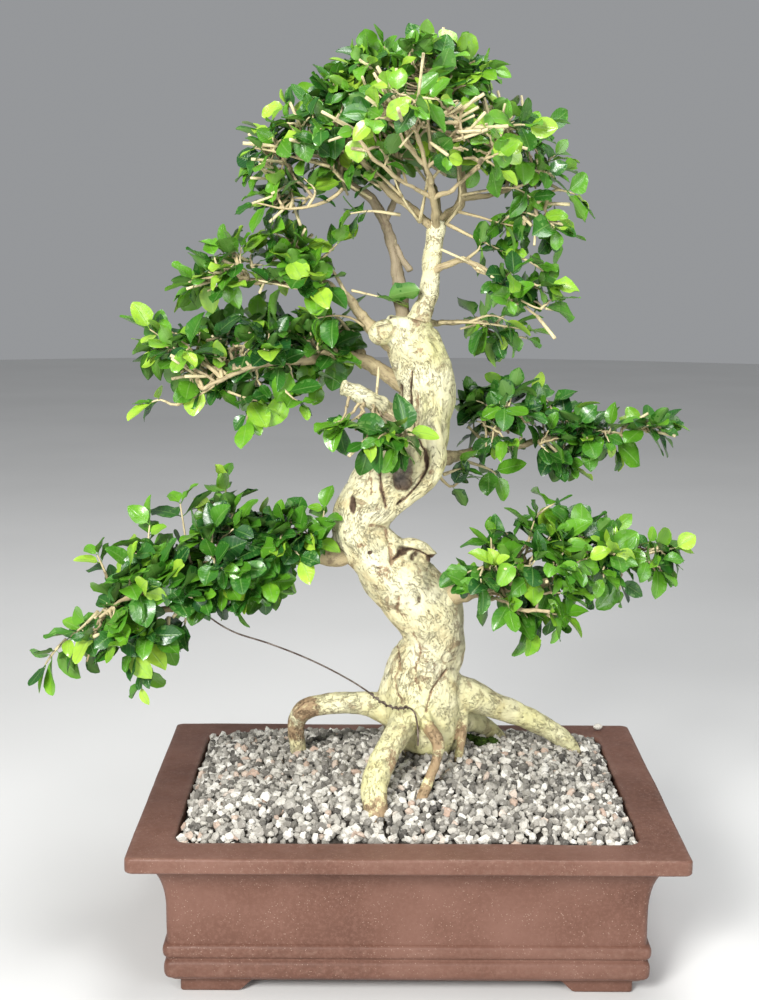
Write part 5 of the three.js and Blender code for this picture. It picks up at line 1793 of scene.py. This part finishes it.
@dataclass
class Foliage:
    """Everything that grows on the trunk."""

    pads: dict[str, Pad]

    @staticmethod
    def limb_samples(pad: Pad) -> Array:
        """Points along a pad's limbs, past the bare stretch of each first one, (n, 3), mm."""
        found = []
        for name in pad.limbs:
            for index, line in enumerate(LIMBS[name]):
                samples = flowing(line, 40)[:, :3]
                found.append(samples[pad.bare if index == 0 else 4 :])
        return np.concatenate(found)

    @staticmethod
    def skin_area(half: Array) -> float:
        """Thomsen's area of an ellipsoid of half sizes a, b and c, with 1.6 as the power."""
        products = half * np.roll(half, 1)
        return 4 * np.pi * ((products**1.6).sum() / 3) ** 0.625

    @staticmethod
    def bowed(start: Array, end: Array, rng: Rng, count: int, bow: float) -> Array:
        """Curves from start to end: a parabola's bow up and to a random side, t(1 - t) of the length."""
        t = np.linspace(0, 1, count)[None, :, None]
        length = np.linalg.norm(end - start, axis=1)[:, None, None]
        sag = rng.normal(0, 0.45, (len(start), 1, 3)) + np.array([0, 0, 0.5])
        wobble = rng.normal(0, 0.035, (len(start), count, 3)) * np.sin(np.pi * t)
        return start[:, None] * (1 - t) + end[:, None] * t + (4 * t * (1 - t) * bow * sag + wobble) * length

    def shoots(self, pad: Pad, rng: Rng) -> tuple[Array, Array]:
        """Second-order twigs from the limbs into the lumps, and the ends of leafy sprays on the lumps' skin.

        Args:
            pad: The pad to fill.
            rng: Source of the places.

        Returns:
            Twig paths (m, 9, 3) and spray ends (n, 3), mm.
        """
        samples = self.limb_samples(pad)
        if pad.twiggy > 1:
            samples = np.concatenate([samples, *(flowing(route, 12)[3:10] for route in pad.routes)])
        lumps = np.array(pad.lumps, dtype=float)
        inner, ends = [], []
        for lump in lumps:
            centre, half = lump[:3], lump[3:]
            area = self.skin_area(half)
            count = max(3, int(area / 1250 * pad.twiggy))
            reach = rng.uniform(0.25, 0.62, (count, 1))
            inner.append(centre + unit(rng.normal(size=(count, 3)) + np.array([0, 0, 0.25])) * half * reach)
            number = max(6, int(area / 1000 * pad.fullness))
            ray = unit(rng.normal(size=(number * 2, 3)))
            lean = np.clip(0.62 + 0.55 * ray[:, 2] + 0.1 * (-ray[:, 1]), 0.22, 1)
            ray = ray[rng.random(number * 2) < lean][:number]
            tip = centre + ray * half * rng.uniform(0.50, 0.86, (len(ray), 1))
            others = lumps[np.any(lumps[:, :3] != centre, axis=1)]
            if len(others):
                depth = np.linalg.norm((tip[:, None] - others[:, :3]) / others[:, 3:], axis=2)
                tip = tip[depth.min(1) > 0.72]
            ends.append(tip)
        inner, ends = np.concatenate(inner), np.concatenate(ends)
        gap = np.linalg.norm(inner[:, None] - samples[None], axis=2)
        gap = gap * rng.uniform(0.6, 1.6, gap.shape)
        return self.bowed(samples[gap.argmin(1)], inner, rng, 9, 0.10), ends

    def grow(self, name: str, pad: Pad, seed: int) -> None:
        """Builds one pad: its twigs as one piece and its leaves as another."""
        rng = np.random.default_rng(seed)
        twigs, ends = self.shoots(pad, rng)
        bearing = np.concatenate([twigs[:, 3:].reshape(-1, 3), self.limb_samples(pad)])
        gap = np.linalg.norm(ends[:, None] - bearing[None], axis=2)
        start = bearing[np.where(gap < 7, 1e3, gap).argmin(1)]
        paths = self.bowed(start, ends, rng, 7, 0.09)
        wood, leaf = Skin(), Skin()
        taper = np.linspace(1.15, 0.62, 9)[None] * rng.uniform(0.75, 1.2, (len(twigs), 1))
        taper = taper / pad.twiggy**0.2
        tubes(wood, placed(twigs), taper * MM, 6, age=rng.uniform(0.2, 0.9, len(twigs)))
        side = np.array(pad.side.value)
        sprays = Sprays(paths, rng, side, pad.tone, leaf=pad.leaf)
        sprays.wood(wood)
        sprays.leaves(leaf)
        if pad.routes:
            routes = np.stack([flowing(route, 10)[:9] for route in pad.routes])
            by_hand = Sprays(routes, rng, side, pad.tone + 0.08, thick=1.05, leaf=pad.leaf)
            by_hand.wood(wood)
            by_hand.leaves(leaf)
        self.add_stubs(wood, twigs, pad.stubs, rng)
        place = name.removeprefix("leaves_")
        dressed(wood.mesh(f"twigs_{place}"), self.twig_finish)
        mesh = leaf.mesh(f"privet_{name}")
        mesh.set_sharp_from_angle(angle=math.radians(75))
        dressed(mesh, self.leaf_finish, (name,))

    @staticmethod
    def add_stubs(skin: Skin, twigs: Array, many: int, rng: Rng) -> None:
        """Adds short pruned stubs that stand out of the twigs, cut off square."""
        if not many:
            return
        foot = twigs.reshape(-1, 3)[rng.integers(0, twigs.shape[0] * twigs.shape[1], many)]
        outwards = unit(foot - foot.mean(axis=0))
        heading = unit(1.1 * outwards + 0.45 * rng.normal(size=(many, 3)) + np.array([0, -0.2, 0.5]))
        tip = foot + heading * rng.uniform(8, 24, (many, 1))
        t = np.linspace(0, 1, 4)[None, :, None]
        paths = foot[:, None] * (1 - t) + tip[:, None] * t
        radii = np.broadcast_to(rng.uniform(0.65, 1.05, (many, 1)), (many, 4))
        tubes(skin, placed(paths), radii * MM, 7, blunt=0.05, age=np.zeros(many))

    @staticmethod
    def slimness(name: str) -> float:
        """The share of its listed radius that a limb keeps."""
        if name.startswith("leader"):
            return 1.0
        if name == "branch_stub":
            return 0.96
        return 0.70 if "crown" in name else 0.84

    def limb(self, name: str, lines: list) -> None:
        """Builds one limb with its forks, lumpy and ringed, in place of its CAD node."""
        skin = Skin()
        for index, line in enumerate(lines):
            knots = np.asarray(line, dtype=float)
            length = np.linalg.norm(np.diff(knots[:, :3], axis=0), axis=1).sum()
            samples = flowing(knots, max(8, int(length / 1.3)))
            run = np.linspace(0, length, len(samples))
            noise = lattice_noise(samples[:, :3], 5.0, 71 + index)
            rings = np.maximum(0, np.sin(run / 4.1 + 3 * noise)) ** 6
            age = 1.0 if name == "leader_left" else 0.6
            lumpy = 1 + 0.12 * noise + 0.12 * rings * (samples[:, 3] < 5)
            radius = samples[:, 3] * lumpy * self.slimness(name)
            wander = [lattice_noise(samples[:, :3] + shift, 9.0, 5) for shift in (0, 40, 80)]
            fade = np.minimum(1, run / 15) * np.clip(5.5 - samples[:, 3], 0, 3) * 0.35
            path = samples[:, :3] + np.stack(wander, axis=1) * fade[:, None]
            sides = 20 if knots[0, 3] > 5 else 12
            tubes(skin, placed(path)[None], radius[None] * MM, sides, blunt=0.25, age=np.array([age]))
        mesh = skin.mesh(f"limb_{name.removeprefix('branch_')}")
        self.roughen(mesh)
        pale = name in ("leader_right", "branch_stub")
        dressed(mesh, self.trunk_finish if pale else self.twig_finish, (name,))

    @staticmethod
    def roughen(mesh: bpy.types.Mesh) -> None:
        """Moves each vertex along its normal by smooth noise: 0.35 mm over 4 mm and 0.15 over 1.6."""
        points = read_points(mesh)
        move = 0.35 * lattice_noise(points, 4 * MM, 13) + 0.15 * lattice_noise(points, 1.6 * MM, 19)
        write_points(mesh, points + read_points(mesh, "normal") * move[:, None] * MM)
        mesh.update()

    def build(self) -> None:
        """Builds the limbs, then each pad."""
        self.trunk_finish = TrunkBark().make()
        self.twig_finish = TwigBark().make()
        self.leaf_finish = Leaf().make()
        for name, lines in LIMBS.items():
            self.limb(name, lines)
        for index, (name, pad) in enumerate(self.pads.items()):
            self.grow(name, pad, 100 + index)


@dataclass
class GuyWire:
    """The thin iron wire from the lower left branch to the front root, its lower end twisted (mm)."""

    diameter: float = 1.0
    route: tuple[tuple[float, float, float], ...] = (
        (-127, -29, 122.5), (-126, -33, 126.9), (-125, -36.9, 123.3), (-124, -32.4, 119.6), (-123, -28.2, 124),
        (-122, -32, 128.7), (-121, -36, 125), (-119, -36.8, 119.5), (-112, -36.3, 112), (-99, -36, 104),
        (-80, -36, 97.7), (-62, -36, 90.7), (-47, -37, 84), (-33, -38, 76.6), (-23, -38, 70), (-17, -36, 64.4),
        (-10, -34, 59.6), (-4, -31, 57.5), (1, -27, 56.8), (4.5, -28, 54), (6, -32, 49), (6.5, -35, 43),
        (6.5, -36.5, 37),
    )  # fmt: skip

    @staticmethod
    def strand(skin: Skin, path: Array, diameter: float, sides: int) -> None:
        """Adds one strand of wire along a path (mm)."""
        radii = np.full((1, len(path)), diameter / 2 * MM)
        tubes(skin, placed(path)[None], radii, sides, age=np.zeros(1))

    def build(self) -> None:
        """Builds the wire and the second strand that is wound round its lower end."""
        skin = Skin()
        path = flowing(self.route, 260)
        self.strand(skin, path, self.diameter, 8)
        stretch = path[168:214]
        _, normal, side = path_frames(stretch[None])
        wind = np.linspace(0, 2 * np.pi * 7, len(stretch))[:, None]
        coil = stretch + 0.95 * self.diameter * (np.cos(wind) * normal[0] + np.sin(wind) * side[0])
        self.strand(skin, flowing(coil, 200), self.diameter * 0.84, 7)
        dressed(skin.mesh("iron_guy_wire"), IronWire().make(), ("guy_wire",))


# ---- Camera, light and floor ----


def turned(side: Array, up: Array, back: Array, place: tuple[float, float, float]) -> Matrix:
    """The matrix that lays X, Y and Z along side, up and back and puts the origin at a place."""
    turn = np.eye(4)
    turn[:3] = np.stack([side, up, back, place], axis=1)
    return Matrix(turn.tolist())


@dataclass
class Studio:
    """A pale floor, soft boxes and the camera."""

    eye: tuple[float, float, float] = (0.00275, -0.8978, 0.4254)
    pitch: float = math.radians(10.21)
    yaw: float = math.radians(0.10)
    roll: float = math.radians(0.33)
    lens: float = 56.05

    def camera(self) -> None:
        """Sets the camera from its place and its three turns."""
        level, drop = math.cos(self.pitch), math.sin(self.pitch)
        ahead = np.array([math.sin(self.yaw) * level, math.cos(self.yaw) * level, -drop])
        right = np.array([math.cos(self.yaw), -math.sin(self.yaw), 0.0])
        up = np.cross(right, ahead)
        across = right * math.cos(self.roll) + up * math.sin(self.roll)
        upright = -right * math.sin(self.roll) + up * math.cos(self.roll)
        data = bpy.data.cameras.new("camera")
        data.lens = self.lens
        data.sensor_width = 36
        data.clip_start, data.clip_end = 0.01, 20
        camera = bpy.data.objects.new("camera", data)
        camera.matrix_world = turned(across, upright, -ahead, self.eye)
        bpy.context.scene.collection.objects.link(camera)
        bpy.context.scene.camera = camera

    def soft_box(self, name: str, place: tuple, aim: tuple, size: float, watts: float, tint: Colour) -> None:
        """Adds a square area light that looks at a point."""
        data = bpy.data.lights.new(name, "AREA")
        data.size = size
        data.energy = watts
        data.color = tint
        lamp = bpy.data.objects.new(name, data)
        towards = unit(np.array(aim) - np.array(place))
        side = unit(np.cross(towards, (0, 0, 1)))
        lamp.matrix_world = turned(side, np.cross(side, towards), -towards, place)
        bpy.context.scene.collection.objects.link(lamp)

    def floor(self) -> None:
        """A wide disc at table height, in pale matt paint."""
        rings = np.array([0.0005, 0.2, 0.5, 1.0, 2.0, 4.0])
        cosine, sine = circle(64)
        x, y = rings[:, None] * cosine, rings[:, None] * sine
        points = np.stack([x, y, np.full_like(x, -0.0002)], -1).reshape(-1, 3)
        skin = Skin()
        skin.add(points, grid_quads(*x.shape))
        mesh = skin.mesh("floor")
        shade = Shade("pale floor")
        tone = shade.noise(shade.place, 3, 2)
        colour = shade.ramp(tone, [(0.3, (0.66, 0.66, 0.65)), (0.7, (0.70, 0.70, 0.69))])
        mesh.materials.append(shade.finish(colour, 0.7, Specular_IOR_Level=0.2))
        floor = bpy.data.objects.new("floor", mesh)
        bpy.context.scene.collection.objects.link(floor)

    def light(self) -> None:
        """Three soft boxes, mostly from the front, and an even pale surround."""
        aim = (0.0, 0.0, 0.25)
        self.soft_box("key", (-0.75, -1.55, 1.05), aim, 0.55, 50, (1.0, 0.99, 0.97))
        self.soft_box("fill", (1.1, -1.3, 0.7), aim, 0.9, 14, (0.98, 0.99, 1.0))
        self.soft_box("top", (0.25, -0.15, 1.7), aim, 0.7, 16, (1.0, 1.0, 1.0))
        world = bpy.data.worlds.new("surround")
        world.use_nodes = True
        back = world.node_tree.nodes["Background"]
        back.inputs["Color"].default_value = (0.80, 0.82, 0.85, 1)
        back.inputs["Strength"].default_value = 0.38
        bpy.context.scene.world = world

    def build(self) -> None:
        """Sets the camera, the light and the floor."""
        bpy.context.scene.view_settings.view_transform = "Standard"
        self.camera()
        self.light()
        self.floor()


def main() -> None:
    """Builds every piece in order."""
    logging.basicConfig(level=logging.INFO, format="%(name)s: %(message)s")
    Studio().build()
    StonewarePot().build()
    gravel = GravelDressing()
    gravel.bed()
    gravel.grains()
    gravel.pebble()
    MossCushions().build()
    dress_carried_over()
    TrunkAndRoots().build()
    Foliage(PADS).build()
    GuyWire().build()


if __name__ == "__main__":
    main()
